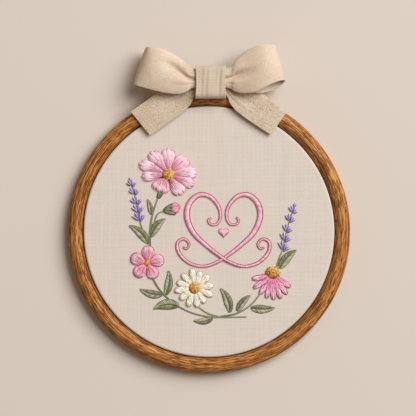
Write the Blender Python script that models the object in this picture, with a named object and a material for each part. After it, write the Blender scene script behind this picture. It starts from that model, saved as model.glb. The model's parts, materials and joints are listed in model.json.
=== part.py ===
"""Hoop embroidery art: linen stretched in a wooden hoop, with a ribbon bow on the hoop's top.

The hoop lies on its back, its front up (+Z) and the bow towards +Y. Sizes in the constants and the
tables are millimetres from the hoop's centre and its back face, and MM turns them to metres where
a mesh is made. The origin ends up in the middle of the whole object's base.
"""

from collections import namedtuple
from math import cos, pi, sin

import bmesh
import bpy
import numpy as np

MM = 0.001
AROUND = 96  # facets round the hoop
SHARP_ANGLE = pi / 5  # edges that turn more than this are shaded sharp
GAP = 0.3  # clearance between neighbouring pieces

# Outer hoop: an 8-inch hoop with a flat back and a rounded front
HOOP_RADIUS = 101.5
BAND_WIDTH = 11.0
HOOP_DEPTH = 12.0
SIDE_HEIGHT = 6.0  # where the straight sides end and the oval front begins
BACK_EASE = 0.8
CROWN_STEPS = 12

# Linen: face, roll over the inner hoop's edge, and skirt between the two hoops
LINEN_THICK = 1.0
SKIRT_CLEARANCE = 0.4
SKIRT_RADIUS = HOOP_RADIUS - BAND_WIDTH - SKIRT_CLEARANCE
HEM_HEIGHT = 1.0
ROLL_STEPS = 4

# Inner hoop
INNER_RADIUS = SKIRT_RADIUS - LINEN_THICK - GAP
INNER_WIDTH = 4.0
INNER_DEPTH = 8.5
INNER_ROUND = 0.7
FACE_HEIGHT = INNER_DEPTH + GAP + LINEN_THICK

# Ribbon
RIBBON_THICK = 1.2
ACROSS = 9  # points across a strip
CREASE_WIDTH = 0.13  # share of the strip's width
LOBE_FULLNESS = 0.7  # below 1 the lobe rises faster from the strip's edges

# Knot: a strip wrapped round the gathers, its outside size and place
KNOT_CENTRE_X = 1.2
KNOT_CENTRE_Y = 106.9
KNOT_WIDTH = 22.0
KNOT_LENGTH = 23.4
KNOT_BACK = HOOP_DEPTH + GAP
KNOT_FRONT = 22.0
KNOT_CORNER = 3.0
CORNER_STEPS = 4
KNOT_CROWN = 0.5  # how far the front bows out
KNOT_WAIST = 0.4  # how far each side draws in at the front

# One section across a ribbon: its two edge points, how far it bulges outwards between them, and
# the crease pressed into that bulge, at a share of the way from the low edge to the high one.
Section = namedtuple("Section", "low_x low_y low_z high_x high_y high_z lobe crease_at crease")

RIGHT_LOOP = (
    Section(12.5, 103.4, 18.1, 12.9, 116.7, 18.1, 2.1, 0.46, 2.3),  # leaving the knot, front
    Section(18.7, 100.6, 19.4, 20.3, 123.7, 19.0, 3.6, 0.46, 3.2),
    Section(24.5, 99.3, 20.6, 27.0, 129.1, 20.0, 3.8, 0.46, 1.5),
    Section(33.6, 100.4, 21.4, 35.2, 132.8, 20.6, 3.2, 0.46, 0.2),
    Section(44.0, 104.6, 20.6, 41.2, 133.6, 19.0, 2.0, 0.46, 0.0),
    Section(51.8, 107.0, 17.6, 44.8, 133.3, 16.0, 1.2, 0.46, 0.0),
    Section(54.5, 107.4, 13.4, 46.0, 132.6, 11.6, 0.8, 0.46, 0.0),  # the outer fold
    Section(52.6, 105.6, 10.2, 44.4, 131.8, 7.6, 0.4, 0.46, 0.0),
    Section(46.0, 102.4, 11.0, 40.8, 130.6, 6.4, 0.2, 0.46, 0.0),
    Section(36.0, 99.2, 16.0, 34.2, 128.0, 9.6, 0.0, 0.46, 0.0),
    Section(26.0, 99.8, 16.5, 27.0, 123.6, 13.0, 0.0, 0.46, 0.0),
    Section(18.6, 101.4, 16.4, 20.0, 119.0, 15.4, 0.0, 0.46, 0.0),
    Section(12.4, 103.6, 16.4, 12.8, 116.0, 16.4, 0.0, 0.46, 0.0),  # back at the knot
)
LEFT_LOOP = (
    Section(-10.2, 103.4, 18.1, -10.6, 116.3, 18.1, 2.1, 0.43, 2.3),  # leaving the knot, front
    Section(-16.0, 100.6, 19.2, -18.5, 122.0, 18.8, 3.8, 0.52, 3.8),
    Section(-22.0, 98.9, 20.4, -26.8, 127.4, 19.4, 4.2, 0.60, 2.4),
    Section(-31.0, 99.5, 21.0, -35.0, 130.7, 19.8, 3.6, 0.64, 0.4),
    Section(-42.0, 102.0, 20.2, -41.6, 131.7, 18.4, 2.2, 0.60, 0.0),
    Section(-50.8, 104.4, 17.2, -45.6, 131.7, 15.4, 1.2, 0.55, 0.0),
    Section(-53.6, 105.1, 13.0, -46.8, 131.4, 11.2, 0.8, 0.50, 0.0),  # the outer fold
    Section(-51.8, 103.9, 10.0, -45.2, 130.6, 7.4, 0.4, 0.50, 0.0),
    Section(-45.0, 101.4, 11.0, -41.2, 129.4, 6.4, 0.2, 0.50, 0.0),
    Section(-35.0, 98.9, 16.0, -34.6, 127.0, 9.6, 0.0, 0.50, 0.0),
    Section(-25.0, 99.6, 16.5, -26.2, 122.6, 13.0, 0.0, 0.50, 0.0),
    Section(-16.6, 101.4, 16.4, -18.0, 118.6, 15.4, 0.0, 0.50, 0.0),
    Section(-10.2, 103.6, 16.4, -10.6, 115.8, 16.4, 0.0, 0.50, 0.0),  # back at the knot
)
RIGHT_TAIL = (
    Section(1.2, 98.0, 14.8, 1.2, 111.0, 14.8, 0.0, 0.50, 0.0),  # behind the knot
    Section(7.0, 98.0, 14.8, 7.0, 111.0, 14.8, 0.0, 0.50, 0.0),
    Section(12.2, 98.0, 14.8, 12.8, 110.4, 14.7, 0.0, 0.55, 0.0),
    Section(15.4, 91.6, 14.2, 20.8, 108.0, 13.9, 0.5, 0.55, 0.6),
    Section(20.6, 85.9, 13.3, 30.0, 104.6, 13.2, 0.6, 0.50, 0.6),
    Section(32.0, 77.6, 13.1, 43.8, 94.8, 12.7, 0.5, 0.50, 0.0),
    Section(44.7, 68.7, 12.7, 55.1, 84.0, 12.7, 0.4, 0.50, 0.0),  # the cut end
)
LEFT_TAIL = (
    Section(-4.6, 98.0, 14.8, -4.6, 111.0, 14.8, 0.0, 0.50, 0.0),
    Section(-9.8, 98.0, 14.8, -10.6, 110.4, 14.7, 0.0, 0.55, 0.0),
    Section(-13.2, 91.4, 14.2, -19.4, 108.4, 13.9, 0.5, 0.55, 0.6),
    Section(-18.4, 86.2, 13.3, -29.6, 104.6, 13.2, 0.6, 0.50, 0.6),
    Section(-30.0, 77.6, 13.1, -43.2, 95.0, 12.7, 0.5, 0.50, 0.0),
    Section(-42.5, 68.3, 12.7, -56.1, 85.3, 12.7, 0.4, 0.50, 0.0),  # the cut end
)
LOOP_STEPS = 2  # stations made from each section of a table
TAIL_STEPS = 3


def clear_scene():
    """Remove every object that the file starts with."""
    for obj in list(bpy.data.objects):
        bpy.data.objects.remove(obj)


def make_material(name, colour, roughness):
    """A Principled material of one colour."""
    material = bpy.data.materials.new(name)
    material.use_nodes = True
    shader = material.node_tree.nodes["Principled BSDF"]
    shader.inputs["Base Color"].default_value = (*colour, 1.0)
    shader.inputs["Roughness"].default_value = roughness
    shader.inputs["Metallic"].default_value = 0.0
    return material


def add_object(name, bm, material, parent):
    """The bmesh as a named, smooth-shaded object under the hoop's empty."""
    bmesh.ops.recalc_face_normals(bm, faces=bm.faces)
    mesh = bpy.data.meshes.new(name)
    bm.to_mesh(mesh)
    bm.free()
    mesh.shade_smooth()
    mesh.set_sharp_from_angle(angle=SHARP_ANGLE)
    mesh.materials.append(material)
    obj = bpy.data.objects.new(name, mesh)
    obj.parent = parent
    bpy.context.scene.collection.objects.link(obj)
    return obj


def turned(profile, closed):
    """A bmesh turned round Z from (radius, height) points. An open profile starts and ends on Z."""
    bm = bmesh.new()
    points = [bm.verts.new((radius * MM, 0.0, height * MM)) for radius, height in profile]
    pairs = list(zip(points, points[1:]))
    if closed:
        pairs.append((points[-1], points[0]))
    edges = [bm.edges.new(pair) for pair in pairs]
    bmesh.ops.spin(
        bm, geom=points + edges, cent=(0, 0, 0), axis=(0, 0, 1), angle=2 * pi, steps=AROUND
    )
    bmesh.ops.remove_doubles(bm, verts=bm.verts, dist=0.01 * MM)
    return bm


def arc(centre, radius, start, end, steps):
    """Points on a circle about centre, from the start angle to the end angle, both included."""
    angles = (start + (end - start) * i / steps for i in range(steps + 1))
    return [(centre[0] + radius * cos(a), centre[1] + radius * sin(a)) for a in angles]


def outer_hoop_profile():
    """Flat back with eased corners, straight sides and a half-oval front."""
    inside, outside = HOOP_RADIUS - BAND_WIDTH, HOOP_RADIUS
    half, rise = BAND_WIDTH / 2, HOOP_DEPTH - SIDE_HEIGHT
    angles = (pi * i / CROWN_STEPS for i in range(CROWN_STEPS + 1))
    crown = [(inside + half + half * cos(a), SIDE_HEIGHT + rise * sin(a)) for a in angles]
    back = [(inside, BACK_EASE), (inside + BACK_EASE, 0), (outside - BACK_EASE, 0), (outside, BACK_EASE)]
    return back + crown


def inner_hoop_profile():
    """A plain rectangular section, its front outer edge rounded for the cloth to bend over."""
    inside = INNER_RADIUS - INNER_WIDTH
    corner = (INNER_RADIUS - INNER_ROUND, INNER_DEPTH - INNER_ROUND)
    rounded = arc(corner, INNER_ROUND, 0, pi / 2, ROLL_STEPS)
    return [(inside, 0), (INNER_RADIUS, 0), *rounded, (inside, INNER_DEPTH)]


def linen_profile():
    """The cloth's front from the middle out and down the skirt, then back along its underside."""
    corner = (INNER_RADIUS - INNER_ROUND, INNER_DEPTH - INNER_ROUND)
    under_round = SKIRT_RADIUS - LINEN_THICK - corner[0]
    front = arc(corner, under_round + LINEN_THICK, pi / 2, 0, ROLL_STEPS)
    under = arc(corner, under_round, 0, pi / 2, ROLL_STEPS)
    hem = [(SKIRT_RADIUS, HEM_HEIGHT), (SKIRT_RADIUS - LINEN_THICK, HEM_HEIGHT)]
    return [(0, FACE_HEIGHT), *front, *hem, *under, (0, FACE_HEIGHT - LINEN_THICK)]


def smoothed(rows, closed, steps):
    """Rows of numbers with Catmull-Rom rows between them, steps to each given one."""
    rows = np.array(rows, float)
    count = len(rows)
    spans = count if closed else count - 1
    found = []
    for i in range(spans * steps + (0 if closed else 1)):
        k, t = min(i // steps, spans - 1), i / steps
        t -= k
        picked = [(k + d) % count if closed else min(max(k + d, 0), count - 1) for d in (-1, 0, 1, 2)]
        p0, p1, p2, p3 = rows[picked]
        bend = 2 * p0 - 5 * p1 + 4 * p2 - p3
        found.append(p1 + 0.5 * t * ((p2 - p0) + t * (bend + t * (3 * p1 - p0 - 3 * p2 + p3))))
    return np.array(found)


def strip_surface(sections, closed, steps):
    """The ribbon's middle surface as points [station][across], in millimetres."""
    stations = smoothed(sections, closed, steps)
    low, high = stations[:, 0:3], stations[:, 3:6]
    middle = (low + high) / 2
    if closed:
        along = np.roll(middle, -1, axis=0) - np.roll(middle, 1, axis=0)
    else:
        along = np.gradient(middle, axis=0)
    outwards = np.cross(along, high - low)
    outwards /= np.linalg.norm(outwards, axis=1)[:, None]
    surface = []
    for share in np.linspace(0, 1, ACROSS):
        lobe = stations[:, 6] * max(sin(pi * share), 0) ** LOBE_FULLNESS
        crease = stations[:, 8] * np.exp(-(((share - stations[:, 7]) / CREASE_WIDTH) ** 2))
        surface.append(low + share * (high - low) + (lobe - crease)[:, None] * outwards)
    return np.stack(surface, axis=1)


def grid_mesh(points, closed):
    """A bmesh of the surface points [station][across], one face to each cell."""
    bm = bmesh.new()
    rows = [[bm.verts.new(point * MM) for point in row] for row in points]
    following = rows[1:] + rows[:1] if closed else rows[1:]
    for row, after in zip(rows, following):
        for i in range(len(row) - 1):
            bm.faces.new((row[i], after[i], after[i + 1], row[i + 1]))
    return bm


def add_ribbon(name, points, closed, material, parent):
    """A ribbon strip: its middle surface, thickened evenly to both sides."""
    obj = add_object(name, grid_mesh(points, closed), material, parent)
    thickness = obj.modifiers.new("Ribbon thickness", "SOLIDIFY")
    thickness.thickness = RIBBON_THICK * MM
    thickness.offset = 0.0
    thickness.use_even_offset = True
    return obj


def knot_surface():
    """The knot's middle surface: a rounded box section in Y and Z, drawn in a little at the front."""
    half_length = (KNOT_LENGTH - RIBBON_THICK) / 2
    half_depth = (KNOT_FRONT - KNOT_BACK - RIBBON_THICK) / 2
    middle_z = (KNOT_FRONT + KNOT_BACK) / 2
    corners = []
    for turn in range(4):
        side_y = 1 if turn in (0, 3) else -1
        side_z = 1 if turn in (0, 1) else -1
        centre = (side_y * (half_length - KNOT_CORNER), side_z * (half_depth - KNOT_CORNER))
        start = turn * pi / 2
        corners += arc(centre, KNOT_CORNER, start, start + pi / 2, CORNER_STEPS)
        if turn in (0, 2):
            corners.append((0.0, side_z * half_depth))
    rows = []
    for y, z in corners:
        front = max(z, 0.0) / half_depth
        bow = KNOT_CROWN * front * (1 - (y / half_length) ** 2)
        half_width = KNOT_WIDTH / 2 - KNOT_WAIST * front * (1 - (y / half_length) ** 2)
        across = np.linspace(half_width, -half_width, ACROSS)
        rows.append([(KNOT_CENTRE_X + x, KNOT_CENTRE_Y + y, middle_z + z + bow) for x in across])
    return np.array(rows)


def main():
    clear_scene()
    hoop = bpy.data.objects.new("hoop_centre", None)
    bpy.context.scene.collection.objects.link(hoop)

    oak = make_material("oak", (0.40, 0.20, 0.075), 0.5)
    beech = make_material("beech", (0.55, 0.38, 0.22), 0.6)
    linen = make_material("linen", (0.73, 0.64, 0.54), 0.9)
    ribbon = make_material("felted ribbon", (0.72, 0.59, 0.43), 0.95)

    add_object("outer_ring", turned(outer_hoop_profile(), True), oak, hoop)
    add_object("inner_ring", turned(inner_hoop_profile(), True), beech, hoop)
    add_object("linen", turned(linen_profile(), False), linen, hoop)

    loops = strip_surface(RIGHT_LOOP + LEFT_LOOP[::-1], True, LOOP_STEPS)
    tails = strip_surface(LEFT_TAIL[::-1] + RIGHT_TAIL, False, TAIL_STEPS)
    bow = add_ribbon("bow_loops", loops, True, ribbon, hoop)
    add_ribbon("bow_tails", tails, False, ribbon, hoop)
    add_ribbon("bow_knot", knot_surface(), True, ribbon, hoop)

    # The base is centred on the whole object, which reaches from the hoop's foot to the bow's top.
    bpy.context.view_layer.update()
    shape = bow.evaluated_get(bpy.context.evaluated_depsgraph_get())
    top = max(corner[1] for corner in shape.bound_box)
    hoop.location.y = (HOOP_RADIUS * MM - top) / 2


if __name__ == "__main__":
    main()
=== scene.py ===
"""Looks of a floral embroidery in a wooden hoop with a ribbon bow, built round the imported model.

Shapes are drawn in millimetres from the hoop's centre and its back, with +Y towards the bow and +Z
towards the embroidered side. HoopPlace turns them to the frame's metres.
"""

import json
import logging
from collections.abc import Callable, Iterable, Sequence
from dataclasses import dataclass, field, replace
from enum import Enum
from math import atan, cos, pi, radians, sin, tau
from typing import Any, NamedTuple

import bpy
import numpy as np
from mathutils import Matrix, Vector

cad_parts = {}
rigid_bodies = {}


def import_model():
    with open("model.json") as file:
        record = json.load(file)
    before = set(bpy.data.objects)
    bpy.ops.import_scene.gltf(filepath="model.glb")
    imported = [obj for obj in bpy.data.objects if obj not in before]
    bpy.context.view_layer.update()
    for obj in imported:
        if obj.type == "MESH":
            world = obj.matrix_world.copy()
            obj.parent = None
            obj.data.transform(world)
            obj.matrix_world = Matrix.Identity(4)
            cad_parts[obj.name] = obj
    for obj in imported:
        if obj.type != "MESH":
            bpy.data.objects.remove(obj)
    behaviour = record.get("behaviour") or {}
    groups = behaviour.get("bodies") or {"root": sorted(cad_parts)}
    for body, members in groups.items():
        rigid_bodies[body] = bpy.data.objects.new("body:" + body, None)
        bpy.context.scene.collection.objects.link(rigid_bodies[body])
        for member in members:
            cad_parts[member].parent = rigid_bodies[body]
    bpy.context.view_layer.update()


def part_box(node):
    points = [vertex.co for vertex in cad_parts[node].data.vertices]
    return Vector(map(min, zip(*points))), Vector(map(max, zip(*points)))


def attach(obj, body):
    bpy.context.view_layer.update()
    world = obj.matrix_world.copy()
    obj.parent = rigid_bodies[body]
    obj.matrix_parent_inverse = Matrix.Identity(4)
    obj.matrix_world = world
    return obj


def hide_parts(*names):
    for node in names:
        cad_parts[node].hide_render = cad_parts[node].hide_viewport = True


Tree = bpy.types.NodeTree
Node = bpy.types.Node
Socket = bpy.types.NodeSocket
Mesh = bpy.types.Mesh
Material = bpy.types.Material
Object = bpy.types.Object
Pair = tuple[float, float]
Triple = tuple[float, float, float]

LOG = logging.getLogger("hoop_embroidery")
MM = 0.001
ROOT = "root"
BEND_RADIUS = 96.0  # millimetres: where lengths along the bent wood are true


def linear(colour: str) -> tuple[float, float, float, float]:
    """Turn an sRGB hex colour to linear light.

    Args:
        colour: Six hex digits, such as "C98F58".

    Returns:
        Red, green, blue and an alpha of one.
    """
    parts = [int(colour[i : i + 2], 16) / 255 for i in (0, 2, 4)]
    red, green, blue = (c / 12.92 if c <= 0.04045 else ((c + 0.055) / 1.055) ** 2.4 for c in parts)
    return red, green, blue, 1.0


def feed(node: Node, inputs: dict[Any, Any]) -> None:
    """Link or set a node's inputs.

    Args:
        node: A node of a shader or geometry tree.
        inputs: For each socket, by name or number, a value or the socket that feeds it.
    """
    for name, value in inputs.items():
        if isinstance(value, Socket):
            node.id_data.links.new(value, node.inputs[name])
        else:
            node.inputs[name].default_value = value


def add_node(tree: Tree, kind: str, inputs: dict[Any, Any] | None = None, **settings: Any) -> Node:
    """Add one node to a tree, with its settings and links.

    Args:
        tree: A shader or geometry tree.
        kind: The node's type name.
        inputs: As feed takes them.
        settings: The node's properties.

    Returns:
        The new node.
    """
    made = tree.nodes.new(kind)
    for name, value in settings.items():
        setattr(made, name, value)
    feed(made, inputs or {})
    return made


def output(tree: Tree, kind: str, inputs: dict[Any, Any] | None = None, **settings: Any) -> Socket:
    """Add one node, as add_node does, and return its first output."""
    return add_node(tree, kind, inputs, **settings).outputs[0]


def maths(tree: Tree, operation: str, *values: Any) -> Socket:
    """The result of a Math node, from its operation and its inputs in order."""
    return output(tree, "ShaderNodeMath", dict(enumerate(values)), operation=operation)


def vectors(tree: Tree, operation: str, first: Any, second: Any) -> Socket:
    """The result of a Vector Math node that takes two vectors."""
    return output(tree, "ShaderNodeVectorMath", {0: first, 1: second}, operation=operation)


def scaled(tree: Tree, vector: Socket, factor: Any) -> Socket:
    """A vector times a number."""
    return output(tree, "ShaderNodeVectorMath", {0: vector, "Scale": factor}, operation="SCALE")


def drawn_out(tree: Tree, place: Socket, size: Any, detail: float = 1.0) -> Socket:
    """Noise, from about 0.3 to 0.7, drawn out to a size along each axis in the place's own unit."""
    inputs = {"Vector": vectors(tree, "DIVIDE", place, size), "Scale": 1.0, "Detail": detail}
    return output(tree, "ShaderNodeTexNoise", inputs)


def remapped(tree: Tree, value: Socket, before: Pair = (0.0, 1.0), after: Pair = (0.0, 1.0)) -> Socket:
    """A number carried from one range to another, and held inside it."""
    names = ("From Min", "From Max", "To Min", "To Max")
    return output(tree, "ShaderNodeMapRange", {"Value": value, **dict(zip(names, before + after))})


def ramped(tree: Tree, factor: Socket, stops: Sequence[tuple[float, str]]) -> Socket:
    """A colour ramp.

    Args:
        tree: The material's tree.
        factor: Where on the ramp.
        stops: Position and sRGB hex colour of each stop, in order.

    Returns:
        The colour's socket.
    """
    node = add_node(tree, "ShaderNodeValToRGB", {"Fac": factor})
    elements = node.color_ramp.elements
    while len(elements) < len(stops):
        elements.new(0.5)
    for element, (position, colour) in zip(elements, stops):
        element.position = position
        element.color = linear(colour)
    return node.outputs[0]


def bent_grain(tree: Tree, position: Socket, centre: Vector) -> Socket:
    """Coordinates that follow wood bent round the hoop, in millimetres.

    The bend's two ends meet at +Y, where the knot hides them.

    Args:
        tree: A shader or geometry tree.
        position: The point, in metres.
        centre: The hoop's centre.

    Returns:
        A vector socket: along the bend, outwards and up.
    """
    place = scaled(tree, vectors(tree, "SUBTRACT", position, centre), 1 / MM)
    parts = add_node(tree, "ShaderNodeSeparateXYZ", {0: place}).outputs
    flat = vectors(tree, "MULTIPLY", place, (1, 1, 0))
    outwards = add_node(tree, "ShaderNodeVectorMath", {0: flat}, operation="LENGTH").outputs["Value"]
    angle = maths(tree, "ARCTAN2", parts[0], maths(tree, "MULTIPLY", parts[1], -1.0))
    along = maths(tree, "MULTIPLY", angle, BEND_RADIUS)
    return output(tree, "ShaderNodeCombineXYZ", {0: along, 1: outwards, 2: parts[2]})


def start_material(name: str) -> tuple[Material, Tree]:
    """Start a node material, and return it with its tree."""
    material = bpy.data.materials.new(name)
    material.use_nodes = True
    return material, material.node_tree


def end_material(
    material: Material, colour: Any, height: Socket, bump: Pair, others: dict[str, Any], invert: bool = False
) -> Material:
    """Give a material its colour, its relief and the rest of its shader's inputs.

    Args:
        material: The material, with the nodes of its patterns.
        colour: Its colour.
        height: Its relief, from 0 to 1.
        bump: The relief's strength, and its height in millimetres.
        others: The shader's other inputs, by name.
        invert: Whether the relief is cut in.

    Returns:
        The same material.
    """
    tree = material.node_tree
    relief = {"Strength": bump[0], "Distance": bump[1] * MM, "Height": height}
    normal = output(tree, "ShaderNodeBump", relief, invert=invert)
    feed(tree.nodes["Principled BSDF"], {"Base Color": colour, "Normal": normal, **others})
    return material


class Streaks(NamedTuple):
    """Dark streaks along the grain: their size, the noise where they start and are full, and their depth."""

    size: Triple
    start: float
    full: float
    most: float


@dataclass(frozen=True)
class OiledOak:
    """Oak, steam-bent, turned and oiled: honey brown, with dark open pores along the bend."""

    name: str = "oiled_oak"  # the material's name
    dark: str = "A15F22"  # the rings' darkest colour
    ground: str = "BC7632"  # the colour between
    pale: str = "D29652"  # their palest colour
    pore: str = "5E300B"  # the colour inside a pore
    stops: Triple = (0.42, 0.52, 0.62)  # where the three colours lie in the rings' noise
    patch_size: Triple = (120.0, 3.5, 3.5)  # a patch of one tone, in millimetres, as all sizes are
    patch_weight: float = 0.06  # how much the patches add to the rings
    ring_size: Triple = (13.0, 0.62, 0.62)  # a streak of a ring
    pores: Streaks = Streaks((7.0, 0.48, 0.48), 0.53, 0.57, 0.9)  # open pores, coarser than real ones
    lines: Streaks = Streaks((60.0, 0.8, 0.8), 0.61, 0.65, 0.85)  # long dark lines between rings
    roughness: Pair = (0.56, 0.85)  # how rough it is between the pores and in them

    def build(self, centre: Vector) -> Material:
        """Build the material.

        Args:
            centre: The hoop's centre, which the grain bends round.

        Returns:
            The material.
        """
        material, tree = start_material(self.name)
        place = add_node(tree, "ShaderNodeTexCoord").outputs["Object"]
        grain = bent_grain(tree, place, centre)
        patches = drawn_out(tree, grain, self.patch_size, 2.0)
        rings = drawn_out(tree, grain, self.ring_size)
        toned = maths(tree, "MULTIPLY_ADD", patches, self.patch_weight, rings)
        tone = ramped(tree, toned, list(zip(self.stops, (self.dark, self.ground, self.pale))))
        found = [
            remapped(tree, drawn_out(tree, grain, kind.size), (kind.start, kind.full), (0.0, kind.most))
            for kind in (self.pores, self.lines)
        ]
        opened = maths(tree, "MAXIMUM", *found)
        inputs = {"Factor": opened, 6: tone, 7: linear(self.pore)}
        colour = add_node(tree, "ShaderNodeMix", inputs, data_type="RGBA").outputs[2]
        rough = remapped(tree, opened, after=self.roughness)
        others = {"Roughness": rough, "IOR": 1.47, "Specular IOR Level": 0.35}
        return end_material(material, colour, opened, (0.7, 0.25), others, invert=True)


@dataclass(frozen=True)
class PlainBeech:
    """Beech, sanded and left bare: pale, with short darker flecks."""

    name: str = "plain_beech"  # the material's name
    dark: str = "B98F5F"  # the flecks' colour
    pale: str = "D9B98C"  # the wood's colour
    fleck_size: Triple = (3.0, 0.5, 0.5)  # a fleck's size, in millimetres

    def build(self, centre: Vector) -> Material:
        """Build the material.

        Args:
            centre: The hoop's centre, which the grain bends round.

        Returns:
            The material.
        """
        material, tree = start_material(self.name)
        place = add_node(tree, "ShaderNodeTexCoord").outputs["Object"]
        flecks = drawn_out(tree, bent_grain(tree, place, centre), self.fleck_size, 3.0)
        tone = ramped(tree, flecks, ((0.38, self.dark), (0.58, self.pale)))
        return end_material(material, tone, flecks, (0.4, 0.1), {"Roughness": 0.6})


class Weave(Enum):
    """How a cloth's surface is made."""

    FELTED = "felted"
    WOVEN = "woven"


@dataclass(frozen=True)
class PlainCloth:
    """Undyed cloth: threads over and under each other with thicker slubs, or fibres felted together."""

    name: str  # the material's name
    weave: Weave  # how it is made
    pale: str  # its palest colour
    dark: str  # its darkest colour
    thread: float  # the distance between threads, or across a tuft of fibres, in millimetres
    relief: float  # the height of its surface, in millimetres
    slub: float = 0.35  # how much of the colours' range a slub takes
    sheen: float = 0.05  # the strength of the fibres' sheen
    map_name: str = ""  # the UV map that it follows, in metres, or none for Object coordinates
    slub_length: float = 38.0  # how far a slub runs, in millimetres
    slub_width: float = 1.3  # its width in threads
    patch_scale: float = 55.0  # how many patches of felt lie in a metre

    def threads(self, tree: Tree, place: Socket) -> Socket:
        """The height of plain weave, warp and weft taking turns on top.

        Args:
            tree: The material's tree.
            place: Coordinates in metres.

        Returns:
            A socket from 0 to 1.
        """
        waves_per_metre = tau / (20 * self.thread * MM)  # Blender's bands repeat each tau / 20
        waves = {"Scale": waves_per_metre, "Distortion": 1.1, "Detail": 2.0, "Detail Scale": 0.35}
        waves["Vector"] = place
        bands = [
            add_node(tree, "ShaderNodeTexWave", waves, bands_direction=axis).outputs["Fac"]
            for axis in ("X", "Y")
        ]
        squares = {"Vector": place, "Scale": 1 / (self.thread * MM)}
        turns = add_node(tree, "ShaderNodeTexChecker", squares).outputs["Fac"]
        return output(tree, "ShaderNodeMix", {"Factor": turns, 2: bands[0], 3: bands[1]}, data_type="FLOAT")

    def tufts(self, tree: Tree, place: Socket) -> Socket:
        """The height of felted fibres, from 0 to 1."""
        fibres = {"Scale": 1 / (self.thread * MM), "Detail": 4.0, "Roughness": 0.65, "Distortion": 0.6}
        return output(tree, "ShaderNodeTexNoise", {"Vector": place, **fibres})

    def slubs(self, tree: Tree, place: Socket) -> Socket:
        """Thicker and darker threads, each running a few centimetres one way or the other.

        Args:
            tree: The material's tree.
            place: Coordinates in metres.

        Returns:
            A socket from about 0 to 1.
        """
        length, width = self.slub_length * MM, self.slub_width * self.thread * MM
        sizes = ((width, length, length), (length, width, length))
        found = [drawn_out(tree, place, size, 2.0) for size in sizes]
        return maths(tree, "MULTIPLY", maths(tree, "ADD", *found), 0.5)

    def build(self) -> Material:
        """Build the material."""
        material, tree = start_material(self.name)
        woven = self.weave is Weave.WOVEN
        if self.map_name:
            place = output(tree, "ShaderNodeUVMap", uv_map=self.map_name)
        else:
            place = add_node(tree, "ShaderNodeTexCoord").outputs["Object"]
        if woven:
            height, blotch = self.threads(tree, place), self.slubs(tree, place)
        else:
            patches = {"Vector": place, "Scale": self.patch_scale, "Detail": 3.0}
            height, blotch = self.tufts(tree, place), output(tree, "ShaderNodeTexNoise", patches)
        tone = remapped(tree, blotch, (0.36, 0.64))
        # The threads' and fibres' height also sets their colour: darker in the relief's hollows as painted
        # shade, lighter on its crests as painted light; the slubs and patches are the cloth's own tone.
        full = remapped(tree, height, (0.0, 1.0) if woven else (0.34, 0.66))
        shade = maths(tree, "MULTIPLY", full, 1 - self.slub)
        weighed = maths(tree, "MULTIPLY_ADD", tone, self.slub, shade)
        colour = ramped(tree, weighed, ((0.1, self.dark), (0.9, self.pale)))
        others = {"Roughness": 0.92, "Specular IOR Level": 0.2, "Sheen Roughness": 0.5}
        others["Sheen Weight"] = self.sheen
        return end_material(material, colour, height, (0.8, self.relief), others)


@dataclass(frozen=True)
class StrandedCotton:
    """Mercerised embroidery cotton: a soft gloss along twisted strands, each stitch a shade of its own."""

    name: str = "stranded_cotton"  # the material's name
    twist: float = 0.9  # the distance from one strand's crest to the next, in millimetres
    tones: Pair = (0.86, 1.1)  # how much darker and lighter the strands are than the stitch's colour: darker in the strands' hollows as painted shade, lighter on their crests as painted light
    roughness: float = 0.42  # how rough it is

    def build(self) -> Material:
        """Build the material."""
        material, tree = start_material(self.name)
        shade = add_node(tree, "ShaderNodeAttribute", attribute_name="shade").outputs["Color"]
        place = add_node(tree, "ShaderNodeTexCoord").outputs["Object"]
        twisted = {"Vector": place, "Scale": 1 / (self.twist * MM), "Detail": 2.0}
        strands = output(tree, "ShaderNodeTexNoise", twisted)
        # The strands' relief also sets their colour: painted shade in its hollows, painted light on its
        # crests.
        colour = scaled(tree, shade, remapped(tree, strands, after=self.tones))
        others = {"Roughness": self.roughness, "Specular IOR Level": 0.4, "Sheen Weight": 0.1}
        return end_material(material, colour, strands, (0.35, 0.1), others)


@dataclass(frozen=True)
class HoopPlace:
    """Where the hoop lies, and its sizes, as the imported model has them."""

    centre: Vector  # the hoop's centre on its back face, in metres
    radius: float  # the outer hoop's outer radius, in millimetres, like the rest
    depth: float  # the outer hoop's depth
    skirt_radius: float  # the outside of the linen's skirt
    face_height: float  # the front of the linen
    hem_height: float  # the hem of the linen's skirt
    inner_radius: float  # the inner hoop's outer radius
    inner_depth: float  # the inner hoop's depth

    @classmethod
    def measured(cls) -> "HoopPlace":
        """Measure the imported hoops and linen."""
        low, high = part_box("outer_ring")
        cloth_low, cloth_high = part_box("linen")
        inner_low, inner_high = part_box("inner_ring")
        return cls(
            centre=Vector(((low.x + high.x) / 2, (low.y + high.y) / 2, low.z)),
            radius=(high.x - low.x) / 2 / MM,
            depth=(high.z - low.z) / MM,
            skirt_radius=(cloth_high.x - cloth_low.x) / 2 / MM,
            face_height=(cloth_high.z - low.z) / MM,
            hem_height=(cloth_low.z - low.z) / MM,
            inner_radius=(inner_high.x - inner_low.x) / 2 / MM,
            inner_depth=(inner_high.z - inner_low.z) / MM,
        )

    def metres(self, points: np.ndarray) -> np.ndarray:
        """Turn points in millimetres from the hoop's centre to the frame's metres."""
        return np.asarray(points, float) * MM + np.array(self.centre)


def add_object(name: str, mesh: Mesh, material: Material | None = None) -> Object:
    """Put a mesh in the scene as an object at the origin.

    Args:
        name: The piece's name.
        mesh: Its mesh, in the frame's metres.
        material: Its finish, unless the mesh has one.

    Returns:
        The object.
    """
    if material is not None:
        mesh.materials.append(material)
    obj = bpy.data.objects.new(name, mesh)
    bpy.context.scene.collection.objects.link(obj)
    return obj


def stand_for(obj: Object, node: str) -> None:
    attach(obj, ROOT)
    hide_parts(node)


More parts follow.
